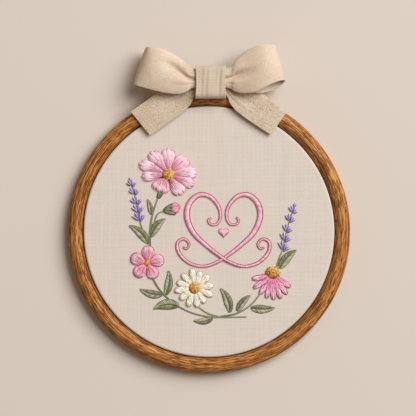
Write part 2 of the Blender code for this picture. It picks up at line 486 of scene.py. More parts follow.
def grown(obj: Object, tree: Tree, sizes: dict[str, Any]) -> Object:
    """Run a Geometry Nodes tree on an object and keep what it makes as the object's plain mesh.

    Args:
        obj: The object whose mesh the tree starts from.
        tree: The tree.
        sizes: A value for each of the tree's inputs, by name.

    Returns:
        The same object, with the new mesh and no modifier.
    """
    modifier = obj.modifiers.new(tree.name, "NODES")
    modifier.node_group = tree
    for item in tree.interface.items_tree:
        if item.name in sizes and item.in_out == "INPUT":
            modifier[item.identifier] = sizes[item.name]
    graph = bpy.context.evaluated_depsgraph_get()
    mesh = bpy.data.meshes.new_from_object(obj.evaluated_get(graph), depsgraph=graph)
    obj.modifiers.remove(modifier)
    obj.data = mesh
    mesh.name = obj.name
    return obj


def start_tree(name: str, inputs: Iterable[tuple[str, str, Any]]) -> tuple[Tree, Any]:
    """Start a Geometry Nodes tree.

    Args:
        name: The tree's name.
        inputs: Name, kind and default value of each input after the geometry.

    Returns:
        The tree and its inputs' sockets.
    """
    tree = bpy.data.node_groups.new(name, "GeometryNodeTree")
    for direction in ("INPUT", "OUTPUT"):
        tree.interface.new_socket("Geometry", in_out=direction, socket_type="NodeSocketGeometry")
    for title, kind, value in (*inputs, ("Material", "Material", None)):
        socket = tree.interface.new_socket(title, in_out="INPUT", socket_type=f"NodeSocket{kind}")
        if value is not None:
            socket.default_value = value
    return tree, add_node(tree, "NodeGroupInput").outputs


def end_tree(tree: Tree, geometry: Socket, material: Socket) -> Tree:
    """End a tree: smooth shading, instances realized, material set.

    Args:
        tree: The tree.
        geometry: What it has made.
        material: The socket that gives the finish.

    Returns:
        The same tree.
    """
    smooth = output(tree, "GeometryNodeSetShadeSmooth", {"Geometry": geometry})
    real = output(tree, "GeometryNodeRealizeInstances", {"Geometry": smooth})
    dressed = output(tree, "GeometryNodeSetMaterial", {"Geometry": real, "Material": material})
    add_node(tree, "NodeGroupOutput", {0: dressed})
    return tree


def bent_strip_tree(centre: Vector) -> Tree:
    """A tree that sweeps the object's outline round the hoop and opens the wood's pores in it.

    Args:
        centre: The hoop's centre.

    Returns:
        The tree. Its outline lies in X (outwards) and Y (down) about the bend's radius.
    """
    tree, given = start_tree(
        "Bent strip",
        (
            ("Bend Radius", "Float", 0.1),
            ("Facets", "Int", 720),
            ("Pore Depth", "Float", 0.0001),
            ("Pore Size", "Vector", (12.0, 1.2, 1.2)),
        ),
    )
    circle = {"Resolution": given["Facets"], "Radius": given["Bend Radius"]}
    bend = output(tree, "GeometryNodeCurvePrimitiveCircle", circle)
    upright = output(tree, "GeometryNodeSetCurveNormal", {"Curve": bend}, mode="Z_UP")
    outline = output(tree, "GeometryNodeMeshToCurve", {"Mesh": given["Geometry"]})
    swept = output(tree, "GeometryNodeCurveToMesh", {"Curve": upright, "Profile Curve": outline})
    placed = output(tree, "GeometryNodeSetPosition", {"Geometry": swept, "Offset": centre})
    grain = bent_grain(tree, output(tree, "GeometryNodeInputPosition"), centre)
    pores = drawn_out(tree, grain, given["Pore Size"])
    depth = maths(tree, "MULTIPLY", remapped(tree, pores, (0.48, 0.66), (0.0, -1.0)), given["Pore Depth"])
    offset = scaled(tree, output(tree, "GeometryNodeInputNormal"), depth)
    opened = output(tree, "GeometryNodeSetPosition", {"Geometry": placed, "Offset": offset})
    return end_tree(tree, opened, given["Material"])


def thread_tree() -> Tree:
    """A tree that gives each run of edges a round thread of the run's own "thread_radius" and "shade"."""
    tree, given = start_tree("Stitches", (("Sides", "Int", 6),))
    runs = output(tree, "GeometryNodeMeshToCurve", {"Mesh": given["Geometry"]})
    outline = output(tree, "GeometryNodeCurvePrimitiveCircle", {"Resolution": given["Sides"], "Radius": 1.0})
    radius = output(tree, "GeometryNodeInputNamedAttribute", {"Name": "thread_radius"}, data_type="FLOAT")
    sweep = {"Curve": runs, "Profile Curve": outline, "Scale": radius, "Fill Caps": True}
    return end_tree(tree, output(tree, "GeometryNodeCurveToMesh", sweep), given["Material"])


def knot_tree() -> Tree:
    """A tree that winds a French knot, a small coil of thread, on each point to its "thread_radius"."""
    tree, given = start_tree(
        "French knots",
        (
            ("Turns", "Float", 1.6),
            ("Thread Share", "Float", 0.42),
            ("Lean", "Float", 0.35),
            ("Seed", "Int", 3),
        ),
    )
    winding = {"Resolution": 8, "Start Radius": 0.62, "End Radius": 0.28, "Height": 0.62}
    coil = output(tree, "GeometryNodeCurveSpiral", {**winding, "Rotations": given["Turns"]})
    thread = {"Resolution": 6, "Radius": given["Thread Share"]}
    outline = output(tree, "GeometryNodeCurvePrimitiveCircle", thread)
    wound = {"Curve": coil, "Profile Curve": outline, "Fill Caps": True}
    knot = output(tree, "GeometryNodeCurveToMesh", wound)
    lean = given["Lean"]
    back = maths(tree, "MULTIPLY", lean, -1.0)
    least = output(tree, "ShaderNodeCombineXYZ", {0: back, 1: back, 2: 0.0})
    most = output(tree, "ShaderNodeCombineXYZ", {0: lean, 1: lean, 2: tau})
    draw = {"Min": least, "Max": most, "Seed": given["Seed"]}
    turns = output(tree, "FunctionNodeRandomValue", draw, data_type="FLOAT_VECTOR")
    size = output(tree, "GeometryNodeInputNamedAttribute", {"Name": "thread_radius"}, data_type="FLOAT")
    spots = output(tree, "GeometryNodeMeshToPoints", {"Mesh": given["Geometry"]})
    placing = {"Points": spots, "Instance": knot, "Rotation": turns, "Scale": size}
    return end_tree(tree, output(tree, "GeometryNodeInstanceOnPoints", placing), given["Material"])


def arc(centre: Pair, radius: float, start: float, end: float, steps: int) -> list[Pair]:
    """Points on a circle from one angle to another in even steps, both ends included."""
    angles = (start + (end - start) * i / steps for i in range(steps + 1))
    return [(centre[0] + radius * cos(a), centre[1] + radius * sin(a)) for a in angles]


def smoothed(rows: Sequence[Sequence[float]], closed: bool, steps: int) -> np.ndarray:
    """Rows of numbers with Catmull-Rom rows between them.

    Args:
        rows: The given rows.
        closed: Whether the last row leads back to the first.
        steps: How many rows come from each given one.

    Returns:
        The rows, as an array.
    """
    table = np.array(rows, float)
    count = len(table)
    spans = count if closed else count - 1
    found = []
    for i in range(spans * steps + (0 if closed else 1)):
        k = min(i // steps, spans - 1)
        t = i / steps - k
        picked = [(k + d) % count if closed else min(max(k + d, 0), count - 1) for d in (-1, 0, 1, 2)]
        p0, p1, p2, p3 = table[picked]
        bend = 2 * p0 - 5 * p1 + 4 * p2 - p3
        found.append(p1 + 0.5 * t * ((p2 - p0) + t * (bend + t * (3 * p1 - p0 - 3 * p2 + p3))))
    return np.array(found)


def edge_mesh(name: str, points: np.ndarray, edges: np.ndarray | list) -> Mesh:
    """A mesh of points, in metres, and of edges, as pairs of the points' numbers."""
    mesh = bpy.data.meshes.new(name)
    mesh.from_pydata([tuple(p) for p in points], [tuple(map(int, e)) for e in edges], [])
    return mesh


@dataclass(frozen=True)
class BentHoop:
    """One hoop of bent wood: its section's outline is swept round the hoop's centre."""

    name: str  # the piece's name
    node: str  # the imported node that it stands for
    slot: str  # a name for its material slot; the build gives the piece no slot
    outline: Sequence[Pair]  # points of the section, as distance from the centre and height
    pore_depth: float  # how deep the wood's pores are cut, in millimetres
    pore_size: Triple  # a pore's length, and its width both ways, in millimetres
    facets: int  # how many facets go round

    def build(self, tree: Tree, finish: Material) -> Object:
        """Sweep the hoop and dress it.

        Args:
            tree: The tree that sweeps an outline.
            finish: The wood.

        Returns:
            The piece.
        """
        middle = sum(radius for radius, _ in self.outline) / len(self.outline)
        points = np.array([((x - middle) * MM, -z * MM, 0.0) for x, z in self.outline[::-1]])
        count = len(points)
        edges = [(i, (i + 1) % count) for i in range(count)]
        sizes = {"Bend Radius": middle * MM, "Facets": self.facets, "Pore Depth": self.pore_depth * MM}
        obj = add_object(self.name, edge_mesh(self.name, points, edges))
        grown(obj, tree, {**sizes, "Pore Size": self.pore_size, "Material": finish})
        stand_for(obj, self.node)
        return obj


@dataclass(frozen=True)
class Hoops:
    """The two hoops: a rounded oak one outside, and a plain beech one that the linen is pressed over."""

    band: float = 11.0  # the outer hoop's width
    side: float = 6.0  # the height at which its straight sides end and its rounded front begins
    ease: float = 0.8  # how much its back corners are eased
    inner_band: float = 4.0  # the inner hoop's width
    inner_round: float = 0.7  # the radius of the edge that the linen bends over
    inner_ease: float = 0.3  # how much its other corners are eased

    def outer_outline(self, place: HoopPlace) -> list[Pair]:
        """The outer hoop's section: flat back, straight sides and a half-oval front."""
        inside, outside = place.radius - self.band, place.radius
        half, rise = self.band / 2, place.depth - self.side
        crown = [(inside + half + half * x, self.side + rise * y) for x, y in arc((0, 0), 1.0, 0, pi, 44)]
        foot = arc((inside + self.ease, self.ease), self.ease, pi, 1.5 * pi, 3)
        heel = arc((outside - self.ease, self.ease), self.ease, 1.5 * pi, tau, 3)
        floor = [(inside + self.band * k / 8, 0.0) for k in range(1, 8)]
        inner_wall = [(inside, self.side * k / 5) for k in (4, 3, 2)]
        outer_wall = [(outside, self.side * k / 5) for k in (2, 3, 4)]
        return inner_wall + foot + floor + heel + outer_wall + crown

    def inner_outline(self, place: HoopPlace) -> list[Pair]:
        """The inner hoop's section: square, with its front outer edge rounded."""
        inside, outside, top = place.inner_radius - self.inner_band, place.inner_radius, place.inner_depth
        rounded = arc((outside - self.inner_round, top - self.inner_round), self.inner_round, 0, pi / 2, 5)
        ease = self.inner_ease
        floor = [(inside + ease, 0.0), (inside + self.inner_band / 2, 0.0), (outside - ease, 0.0)]
        wall = [(outside, ease), (outside, top / 2)]
        back = [(inside + ease, top), (inside, top - ease), (inside, top / 2), (inside, ease)]
        return floor + wall + rounded + back

    def build(self, place: HoopPlace) -> list[Object]:
        """Build both hoops.

        Args:
            place: Where the hoop lies.

        Returns:
            The two pieces.
        """
        tree = bent_strip_tree(place.centre)
        oak, beech = self.outer_outline(place), self.inner_outline(place)
        outer = BentHoop(
            "outer_hoop", "outer_ring", "oak", oak, pore_depth=0.06, pore_size=(16.0, 1.9, 1.9), facets=900
        )
        inner = BentHoop(
            "inner_hoop", "inner_ring", "beech", beech, pore_depth=0.03, pore_size=(5.0, 0.9, 0.9), facets=480
        )
        return [
            outer.build(tree, OiledOak().build(place.centre)),
            inner.build(tree, PlainBeech().build(place.centre)),
        ]


@dataclass(frozen=True)
class Linen:
    """The linen ground: drum-tight over the inner hoop, with a skirt that the outer hoop grips."""

    thickness: float = 0.8  # the cloth's own thickness
    roll: float = 1.5  # the radius of the bend at the inner hoop's edge, on the cloth's front
    around: int = 288  # how many points go round it
    across: int = 56  # how many rings of points lie on the face
    crowding: float = 0.8  # below one, the face's rings lie closer together towards its edge
    ripple: float = 0.05  # how far the pull of the hoop lifts the cloth near its edge
    ripple_reach: float = 7.0  # how far in from the edge the ripples fade

    def profile(self, place: HoopPlace) -> np.ndarray:
        """The front of the cloth, as radius and height, from the first ring of points to the hem."""
        flat = place.skirt_radius - self.roll
        face = [(flat * (k / self.across) ** self.crowding, place.face_height) for k in range(1, self.across)]
        bend = arc((flat, place.face_height - self.roll), self.roll, pi / 2, 0, 8)
        low = place.hem_height
        skirt = [(place.skirt_radius, low + (bend[-1][1] - low) * k / 6) for k in (5, 4, 3, 2, 1, 0)]
        return np.array(face + bend + skirt)

    def surface(self, place: HoopPlace, under: bool) -> np.ndarray:
        """Points of the front or the underside, ring by ring, in millimetres.

        Args:
            place: Where the hoop lies.
            under: Whether this is the underside.

        Returns:
            An array [ring][around][3].
        """
        rings = self.profile(place)
        if under:
            steps = np.gradient(rings, axis=0)
            steps /= np.linalg.norm(steps, axis=1)[:, None]
            rings = rings + np.column_stack([steps[:, 1], -steps[:, 0]]) * self.thickness
        angles = np.linspace(0, tau, self.around, endpoint=False)
        radius, height = rings[:, 0][:, None], rings[:, 1][:, None]
        flat = place.skirt_radius - self.roll
        near_edge = np.exp(-np.clip(flat - radius, 0, None) / self.ripple_reach) * (radius < flat)
        heights = height + self.ripple * near_edge * (np.sin(37 * angles) + np.sin(23 * angles + 1.0))
        return np.stack([radius * np.cos(angles), radius * np.sin(angles), heights], axis=2)

    def build(self, place: HoopPlace, finish: Material) -> Object:
        """Build the cloth.

        Args:
            place: Where the hoop lies.
            finish: The linen.

        Returns:
            The piece.
        """
        front, back = self.surface(place, False), self.surface(place, True)
        rings, around = front.shape[:2]
        under = rings * around
        grid = np.arange(under).reshape(rings, around)
        ahead = np.roll(grid, -1, axis=1)
        cells = np.stack([grid[:-1], grid[1:], ahead[1:], ahead[:-1]], axis=2).reshape(-1, 4)
        hem = np.stack([grid[-1], grid[-1] + under, ahead[-1] + under, ahead[-1]], axis=1)
        tops = np.array([[0, 0, place.face_height], [0, 0, place.face_height - self.thickness]])
        points = np.concatenate([front.reshape(-1, 3), back.reshape(-1, 3), tops])
        faces = cells.tolist() + (cells + under)[:, ::-1].tolist() + hem.tolist()
        middle = 2 * under
        for here, there in zip(grid[0], ahead[0]):
            faces.append([middle, here, there])
            faces.append([middle + 1, there + under, here + under])
        mesh = bpy.data.meshes.new("linen_ground")
        mesh.from_pydata(place.metres(points).tolist(), [], faces)
        mesh.shade_smooth()
        obj = add_object("linen_ground", mesh, finish)
        stand_for(obj, "linen")
        return obj


class Section(NamedTuple):
    """One section across a ribbon, in millimetres from the hoop's centre and back.

    Its two edges, how far it bulges outwards between them, and the crease pressed into that bulge, at
    a share of the way from the low edge to the high one.
    """

    low_x: float
    low_y: float
    low_z: float
    high_x: float
    high_y: float
    high_z: float
    lobe: float
    crease_at: float
    crease: float


RIGHT_LOOP = (
    Section(12.5, 103.4, 18.1, 12.9, 116.7, 18.1, 2.1, 0.46, 2.6),  # leaving the knot, front
    Section(18.7, 100.6, 18.9, 20.3, 123.7, 18.6, 3.8, 0.46, 4.4),
    Section(24.5, 99.3, 19.7, 27.0, 129.1, 19.2, 4.0, 0.46, 3.0),
    Section(33.6, 100.4, 21.2, 35.2, 132.8, 20.4, 3.2, 0.46, 0.8),
    Section(43.4, 105.4, 21.9, 41.2, 133.6, 20.6, 2.0, 0.46, 0.0),
    Section(51.0, 108.2, 19.6, 46.0, 133.3, 18.2, 1.0, 0.46, 0.0),
    Section(53.9, 108.2, 14.6, 47.4, 132.6, 12.6, 0.6, 0.46, 0.0),  # the outer fold
    Section(52.4, 105.9, 10.2, 45.4, 131.6, 7.6, 0.4, 0.46, 0.0),
    Section(46.0, 101.7, 11.0, 40.8, 130.4, 6.4, 0.2, 0.46, 0.0),
    Section(36.0, 99.2, 16.0, 34.2, 128.0, 9.6, 0.0, 0.46, 0.0),
    Section(26.0, 99.8, 16.5, 27.0, 123.6, 13.0, 0.0, 0.46, 0.0),
    Section(18.6, 101.4, 16.4, 20.0, 119.0, 15.4, 0.0, 0.46, 0.0),
    Section(12.4, 103.6, 16.4, 12.8, 116.0, 16.4, 0.0, 0.46, 0.0),  # back at the knot
)
LEFT_LOOP = (
    Section(-10.2, 103.4, 18.1, -10.6, 116.3, 18.1, 2.1, 0.43, 2.3),  # leaving the knot, front
    Section(-16.0, 100.6, 18.8, -18.5, 122.0, 18.5, 3.8, 0.52, 4.2),
    Section(-22.0, 98.9, 19.6, -26.8, 127.4, 18.9, 4.2, 0.60, 2.8),
    Section(-31.0, 99.5, 20.9, -35.0, 130.7, 19.9, 3.6, 0.64, 0.8),
    Section(-42.0, 102.0, 21.7, -41.6, 131.7, 20.2, 2.2, 0.60, 0.0),
    Section(-50.8, 104.4, 19.4, -43.9, 131.7, 17.8, 1.0, 0.55, 0.0),
    Section(-53.6, 105.1, 14.2, -44.9, 131.4, 12.2, 0.6, 0.50, 0.0),  # the outer fold
    Section(-51.8, 103.9, 10.0, -45.2, 130.6, 7.4, 0.4, 0.50, 0.0),
    Section(-45.0, 101.4, 11.0, -41.2, 129.4, 6.4, 0.2, 0.50, 0.0),
    Section(-35.0, 98.9, 16.0, -34.6, 127.0, 9.6, 0.0, 0.50, 0.0),
    Section(-25.0, 99.6, 16.5, -26.2, 122.6, 13.0, 0.0, 0.50, 0.0),
    Section(-16.6, 101.4, 16.4, -18.0, 118.6, 15.4, 0.0, 0.50, 0.0),
    Section(-10.2, 103.6, 16.4, -10.6, 115.8, 16.4, 0.0, 0.50, 0.0),  # back at the knot
)
RIGHT_TAIL = (
    Section(1.2, 98.0, 14.8, 1.2, 111.0, 14.8, 0.0, 0.50, 0.0),  # behind the knot
    Section(7.0, 98.0, 14.8, 7.0, 111.0, 14.8, 0.0, 0.50, 0.0),
    Section(12.2, 98.0, 14.8, 12.8, 110.4, 14.7, 0.0, 0.55, 0.0),
    Section(15.4, 91.6, 14.2, 20.8, 108.0, 13.9, 0.5, 0.55, 0.6),
    Section(20.6, 85.9, 13.3, 30.0, 104.6, 13.2, 0.6, 0.50, 0.6),
    Section(32.0, 77.6, 13.1, 43.8, 94.8, 12.7, 0.5, 0.50, 0.0),
    Section(44.4, 69.6, 12.7, 55.0, 84.8, 12.7, 0.4, 0.50, 0.0),  # the cut end
)
LEFT_TAIL = (
    Section(-4.6, 98.0, 14.8, -4.6, 111.0, 14.8, 0.0, 0.50, 0.0),
    Section(-9.8, 98.0, 14.8, -10.6, 110.4, 14.7, 0.0, 0.55, 0.0),
    Section(-13.2, 91.4, 14.2, -19.4, 108.4, 13.9, 0.5, 0.55, 0.6),
    Section(-18.4, 86.2, 13.3, -29.6, 104.6, 13.2, 0.6, 0.50, 0.6),
    Section(-30.0, 77.6, 13.1, -43.2, 95.0, 12.7, 0.5, 0.50, 0.0),
    Section(-42.2, 69.2, 12.7, -56.0, 86.0, 12.7, 0.4, 0.50, 0.0),  # the cut end
)


@dataclass(frozen=True)
class RibbonStrip:
    """One strip of the bow, built on its middle surface."""

    name: str  # the piece's name
    node: str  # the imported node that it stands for
    held: str
    width: float  # the width to which it was cut
    surface: np.ndarray  # its middle surface, [station][across], in millimetres
    closed: bool  # whether the strip is sewn into a band
    rests_on: Sequence[str]  # the names of the pieces that it lies on
    thickness: float = 1.2  # the ribbon's thickness
    cut_edge: float = 0.3  # how much its cut edges are eased

    def length(self) -> float:
        """The strip's length along its middle, in millimetres."""
        middle = self.surface[:, self.surface.shape[1] // 2]
        steps = np.diff(np.concatenate([middle, middle[:1]]) if self.closed else middle, axis=0)
        return float(np.linalg.norm(steps, axis=1).sum())

    def mesh(self, place: HoopPlace) -> Mesh:
        """The middle surface as a mesh, with a UV map in metres along and across the strip."""
        stations, across = self.surface.shape[:2]
        rows = stations if self.closed else stations - 1
        faces, corners = [], []
        step = self.length() / rows
        for row in range(rows):
            here, after = row * across, (row + 1) % stations * across
            near, far = row * step, (row + 1) * step
            for i in range(across - 1):
                faces.append([here + i, after + i, after + i + 1, here + i + 1])
                low, high = (i / (across - 1) * self.width, (i + 1) / (across - 1) * self.width)
                corners += [(near, low), (far, low), (far, high), (near, high)]
        mesh = bpy.data.meshes.new(self.name)
        mesh.from_pydata(place.metres(self.surface.reshape(-1, 3)).tolist(), [], faces)
        layer = mesh.uv_layers.new(name="cloth")
        layer.data.foreach_set("uv", (np.array(corners) * MM).ravel())
        mesh.shade_smooth()
        return mesh

    def build(self, place: HoopPlace, finish: Material) -> Object:
        """Args:
            place: Where the hoop lies.
            finish: The ribbon's cloth.

        Returns:
            The piece.
        """
        obj = add_object(self.name, self.mesh(place), finish)
        thick = obj.modifiers.new("Ribbon thickness", "SOLIDIFY")
        thick.thickness = self.thickness * MM
        thick.offset = 0.0
        thick.use_even_offset = True
        eased = obj.modifiers.new("Cut edges", "BEVEL")
        eased.width = self.cut_edge * MM
        eased.segments = 2
        eased.limit_method = "ANGLE"
        eased.angle_limit = radians(55)
        stand_for(obj, self.node)
        self.length() * MM
        return obj


@dataclass(frozen=True)
class Knot:
    """The bow's knot: a strip wrapped round the gathers, a rounded box section in Y and Z."""

    x: float = 1.2  # its centre, across
    y: float = 106.9  # its centre, towards the hoop's top
    width: float = 22.0  # its size along X
    length: float = 23.4  # its size along Y
    back: float = 12.3  # its lowest height
    front: float = 22.0  # its highest, before the crown
    corner: float = 3.0  # the radius of its bends
    crown: float = 0.5  # how far its front bows out
    waist: float = 0.6  # how far its sides draw in at the front
    pleat: float = 0.26  # the depth of the soft pleats along its wrap
    thickness: float = 1.2  # the ribbon's thickness
    across: int = 49  # points across the strip

    def wrap(self, half_length: float, half_depth: float) -> list[Pair]:
        """Points in Y and Z round the wrap, from its +Y side over the front."""
        points: list[Pair] = []
        run = half_length - self.corner
        for turn in range(4):
            side_y = 1 if turn in (0, 3) else -1
            side_z = 1 if turn in (0, 1) else -1
            centre = (side_y * run, side_z * (half_depth - self.corner))
            points += arc(centre, self.corner, turn * pi / 2, (turn + 1) * pi / 2, 10)
            if turn in (0, 2):
                points += [(side_z * run * (1 - k / 6), side_z * half_depth) for k in range(1, 12)]
        return points

    def surface(self) -> np.ndarray:
        """The knot's middle surface, [station][across][3]."""
        half_length = (self.length - self.thickness) / 2
        half_depth = (self.front - self.back - self.thickness) / 2
        middle_z = (self.front + self.back) / 2
        rows = []
        for y, z in self.wrap(half_length, half_depth):
            front = max(z, 0.0) / half_depth
            bow = self.crown * front * (1 - (y / half_length) ** 2)
            half_width = self.width / 2 - self.waist * front * (1 - (y / half_length) ** 2)
            row = []
            for x in np.linspace(half_width, -half_width, self.across):
                broad = cos(x * 0.5 + 0.07 * y + 0.6)
                fine = 0.6 * cos(x * 1.7 + 1.8 - 0.12 * y) * cos(x * 0.3 + 1)  # it comes and goes across
                pleat = self.pleat * front * (broad + fine)
                row.append((self.x + x, self.y + y, middle_z + z + bow + pleat))
            rows.append(row)
        return np.array(rows)


@dataclass(frozen=True)
class Bow:
    """The bow: a band folded into two loops, a strip for the tails, and a wrap round both."""

    knot: Knot = Knot()  # the wrap
    across: int = 49  # points across a strip
    crease_width: float = 0.13  # a crease's width, as a share of the strip's
    lobe_fullness: float = 0.7  # below one, a lobe rises faster from the strip's edges
    gather: float = 0.45  # the depth of the small gathers next to the knot
    gather_start: float = 3.5  # how far from the knot the gathers are at their deepest
    gather_reach: float = 9.0  # how far from the knot they fade

    def strip(self, sections: Sequence[Section], closed: bool, steps: int) -> np.ndarray:
        """The middle surface of a strip of ribbon.

        Args:
            sections: The strip's sections, in order.
            closed: Whether the strip is sewn into a band.
            steps: Stations made from each section.

        Returns:
            An array [station][across][3], in millimetres.
        """
        stations = smoothed(sections, closed, steps)
        low, high = stations[:, 0:3], stations[:, 3:6]
        bulge, crease_at, pressed = stations[:, 6:9].T
        middle = (low + high) / 2
        if closed:
            along = np.roll(middle, -1, axis=0) - np.roll(middle, 1, axis=0)
        else:
            along = np.gradient(middle, axis=0)
        outwards = np.cross(along, high - low)
        outwards /= np.linalg.norm(outwards, axis=1)[:, None]
        from_knot = np.abs(middle[:, 0] - self.knot.x) - self.knot.width / 2
        fading = np.exp(-np.clip(from_knot, 0, None) / self.gather_reach)
        gathered = self.gather * np.clip(from_knot / self.gather_start, 0, 1) * fading
        surface = []
        for share in np.linspace(0, 1, self.across):
            lobe = bulge * max(sin(pi * share), 0) ** self.lobe_fullness
            crease = pressed * np.exp(-(((share - crease_at) / self.crease_width) ** 2))
            pleat = gathered * (sin(tau * (3.5 * share + 0.15)) + 0.6 * sin(tau * (6.2 * share + 0.4)))
            surface.append(low + share * (high - low) + (lobe - crease + pleat)[:, None] * outwards)
        return np.stack(surface, axis=1)

    def build(self, place: HoopPlace) -> list[Object]:
        """Build the bow's three pieces.

        Args:
            place: Where the hoop lies.

        Returns:
            The pieces.
        """
        crepe = PlainCloth("felted_crepe", Weave.FELTED, "E7D6C3", "BFA487", 0.9, 0.68, 0.25)
        felt = PlainCloth("wool_felt", Weave.FELTED, "E8D7C5", "CBB091", 0.6, 0.3, 0.3)
        tape = PlainCloth("linen_tape", Weave.WOVEN, "E1D0BC", "C9B59C", 0.7, 0.15, 0.15, map_name="cloth")
        tails = self.strip(LEFT_TAIL[::-1] + RIGHT_TAIL, closed=False, steps=14)
        loops = self.strip(RIGHT_LOOP + LEFT_LOOP[::-1], closed=True, steps=9)
        wrap = self.knot.surface()
        under_loops, under_knot = ["outer_hoop", "bow_tail_ribbon"], ["bow_loop_ribbon", "outer_hoop"]
        made = []
        for name, node, held, width, surface, closed, cloth, rests_on in (
            ("bow_tail_ribbon", "bow_tails", "laid", 21.0, tails, False, crepe, ["outer_hoop"]),
            ("bow_loop_ribbon", "bow_loops", "gathered", 30.0, loops, True, felt, under_loops),
            ("bow_knot_ribbon", "bow_knot", "folded", 22.0, wrap, True, tape, under_knot),
        ):
            strip = RibbonStrip(name, node, held, width, surface, closed, rests_on)
            made.append(strip.build(place, cloth.build()))
        return made


class Run(NamedTuple):
    """One stitch: its points in millimetres, its radius and its colour at each point."""

    points: np.ndarray
    radii: np.ndarray
    colours: np.ndarray


def blended(stops: Sequence[str], share: float | np.ndarray) -> np.ndarray:
    """A colour between evenly spaced stops.

    Args:
        stops: sRGB hex colours.
        share: Where, from 0 to 1.

    Returns:
        Linear red, green and blue, one row for each share.
    """
    table = np.array([linear(stop)[:3] for stop in stops])
    at = np.clip(np.atleast_1d(share), 0, 1) * (len(table) - 1)
    low = np.minimum(at.astype(int), len(table) - 2)
    part = (at - low)[:, None]
    return table[low] * (1 - part) + table[low + 1] * part


@dataclass
class Threadwork:
    """Stitches and knots gathered for one piece of the embroidery."""

    name: str  # the piece's name
    ground: float  # the height of the linen's front
    seed: int  # the seed for what differs from stitch to stitch
    radius: float = 0.4  # the thread's usual radius
    runs: list[Run] = field(default_factory=list)  # the stitches
    knots: list[tuple] = field(default_factory=list)  # each one's foot, radius and colour

    def __post_init__(self) -> None:
        """Start the piece's own random numbers."""
        self.random = np.random.default_rng(self.seed)

    def lay(
        self,
        path: np.ndarray,
        heights: np.ndarray,
        colour: np.ndarray,
        radius: float = 0.0,
        vary: float = 0.08,
    ) -> None:
        """Lay one stitch. Its ends thin out and dip into the cloth.

        Args:
            path: Its points in X and Y.
            heights: Their heights above the linen.
            colour: Its linear colour, one for the stitch or one for each point.
            radius: The thread's radius, or zero for the usual one.
            vary: How much lighter or darker than its colour the stitch may be.
        """
        count = len(path)
        near_end = np.linspace(-1, 1, count) ** 8
        thick = (radius or self.radius) * (1 - 0.4 * near_end)
        dip = (radius or self.radius) * near_end
        points = np.column_stack([path, self.ground + heights - dip])
        colours = np.broadcast_to(colour, (count, 3)) * (1 + self.random.uniform(-vary, vary))
        self.runs.append(Run(points, thick, colours))

    def knot(self, x: float, y: float, height: float, size: float, colour: np.ndarray) -> None:
        """Wind one French knot of a radius and linear colour, its foot at a height above the linen."""
        self.knots.append((np.array([x, y, self.ground + height]), size, np.asarray(colour).reshape(3)))

    def runs_mesh(self, place: HoopPlace) -> Mesh:
        """The stitches as runs of edges with "thread_radius" and "shade" at each point."""
        sizes = [len(run.points) for run in self.runs]
        points, radii, colours = (np.concatenate(column) for column in zip(*self.runs))
        starts = np.cumsum([0, *sizes[:-1]])
        edges = [(start + i, start + i + 1) for start, size in zip(starts, sizes) for i in range(size - 1)]
        mesh = edge_mesh(self.name, place.metres(points), edges)
        give_attributes(mesh, radii, colours)
        return mesh

    def knots_mesh(self, place: HoopPlace) -> Mesh:
        """The knots as points with "thread_radius" and "shade"."""
        feet, sizes, colours = (np.array(column) for column in zip(*self.knots))
        mesh = edge_mesh(self.name, place.metres(feet), [])
        give_attributes(mesh, sizes, colours)
        return mesh

    def build(self, place: HoopPlace, trees: dict[str, Tree], finish: Material) -> list[Object]:
        """Turn the runs to threads and wind the knots.

        Args:
            place: Where the hoop lies.
            trees: The "runs" and "knots" trees.
            finish: The thread.

        Returns:
            The pieces.
        """
        made = []
        if self.runs:
            obj = add_object(self.name, self.runs_mesh(place))
            made.append(grown(obj, trees["runs"], {"Sides": 6, "Material": finish}))
        if self.knots:
            obj = add_object(f"{self.name}_knots", self.knots_mesh(place))
            made.append(grown(obj, trees["knots"], {"Seed": self.seed, "Material": finish}))
        for obj in made:
            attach(obj, ROOT)
        return made


def give_attributes(mesh: Mesh, radii: np.ndarray, colours: np.ndarray) -> None:
    """Store the thread's radius, in metres, and its colour on a mesh's points.

    Args:
        mesh: The mesh.
        radii: A radius for each point, in millimetres.
        colours: A linear colour for each point.
    """
    mesh.attributes.new("thread_radius", "FLOAT", "POINT").data.foreach_set("value", radii * MM)
    full = np.column_stack([np.clip(colours, 0, 1), np.ones(len(colours))])
    mesh.attributes.new("shade", "FLOAT_COLOR", "POINT").data.foreach_set("color", full.ravel())


def turned(points: np.ndarray, angle: float) -> np.ndarray:
    """Points in X and Y turned about the origin, by an angle in degrees."""
    a = radians(angle)
    return points @ np.array([[cos(a), sin(a)], [-sin(a), cos(a)]])


def side_of(path: np.ndarray) -> np.ndarray:
    """The left-hand unit normal at each point of a path in X and Y."""
    along = np.gradient(path, axis=0)
    along /= np.linalg.norm(along, axis=1)[:, None] + 1e-9
    return np.column_stack([-along[:, 1], along[:, 0]])


def evenly(path: np.ndarray, step: float) -> np.ndarray:
    """A path's rows at even distances along it.

    Args:
        path: Rows that start with X and Y, and may hold more columns.
        step: The distance between points.

    Returns:
        The new rows.
    """
    lengths = np.concatenate([[0], np.cumsum(np.linalg.norm(np.diff(path[:, :2], axis=0), axis=1))])
    count = max(3, round(lengths[-1] / step) + 1)
    at = np.linspace(0, lengths[-1], count)
    return np.column_stack([np.interp(at, lengths, path[:, k]) for k in range(path.shape[1])])


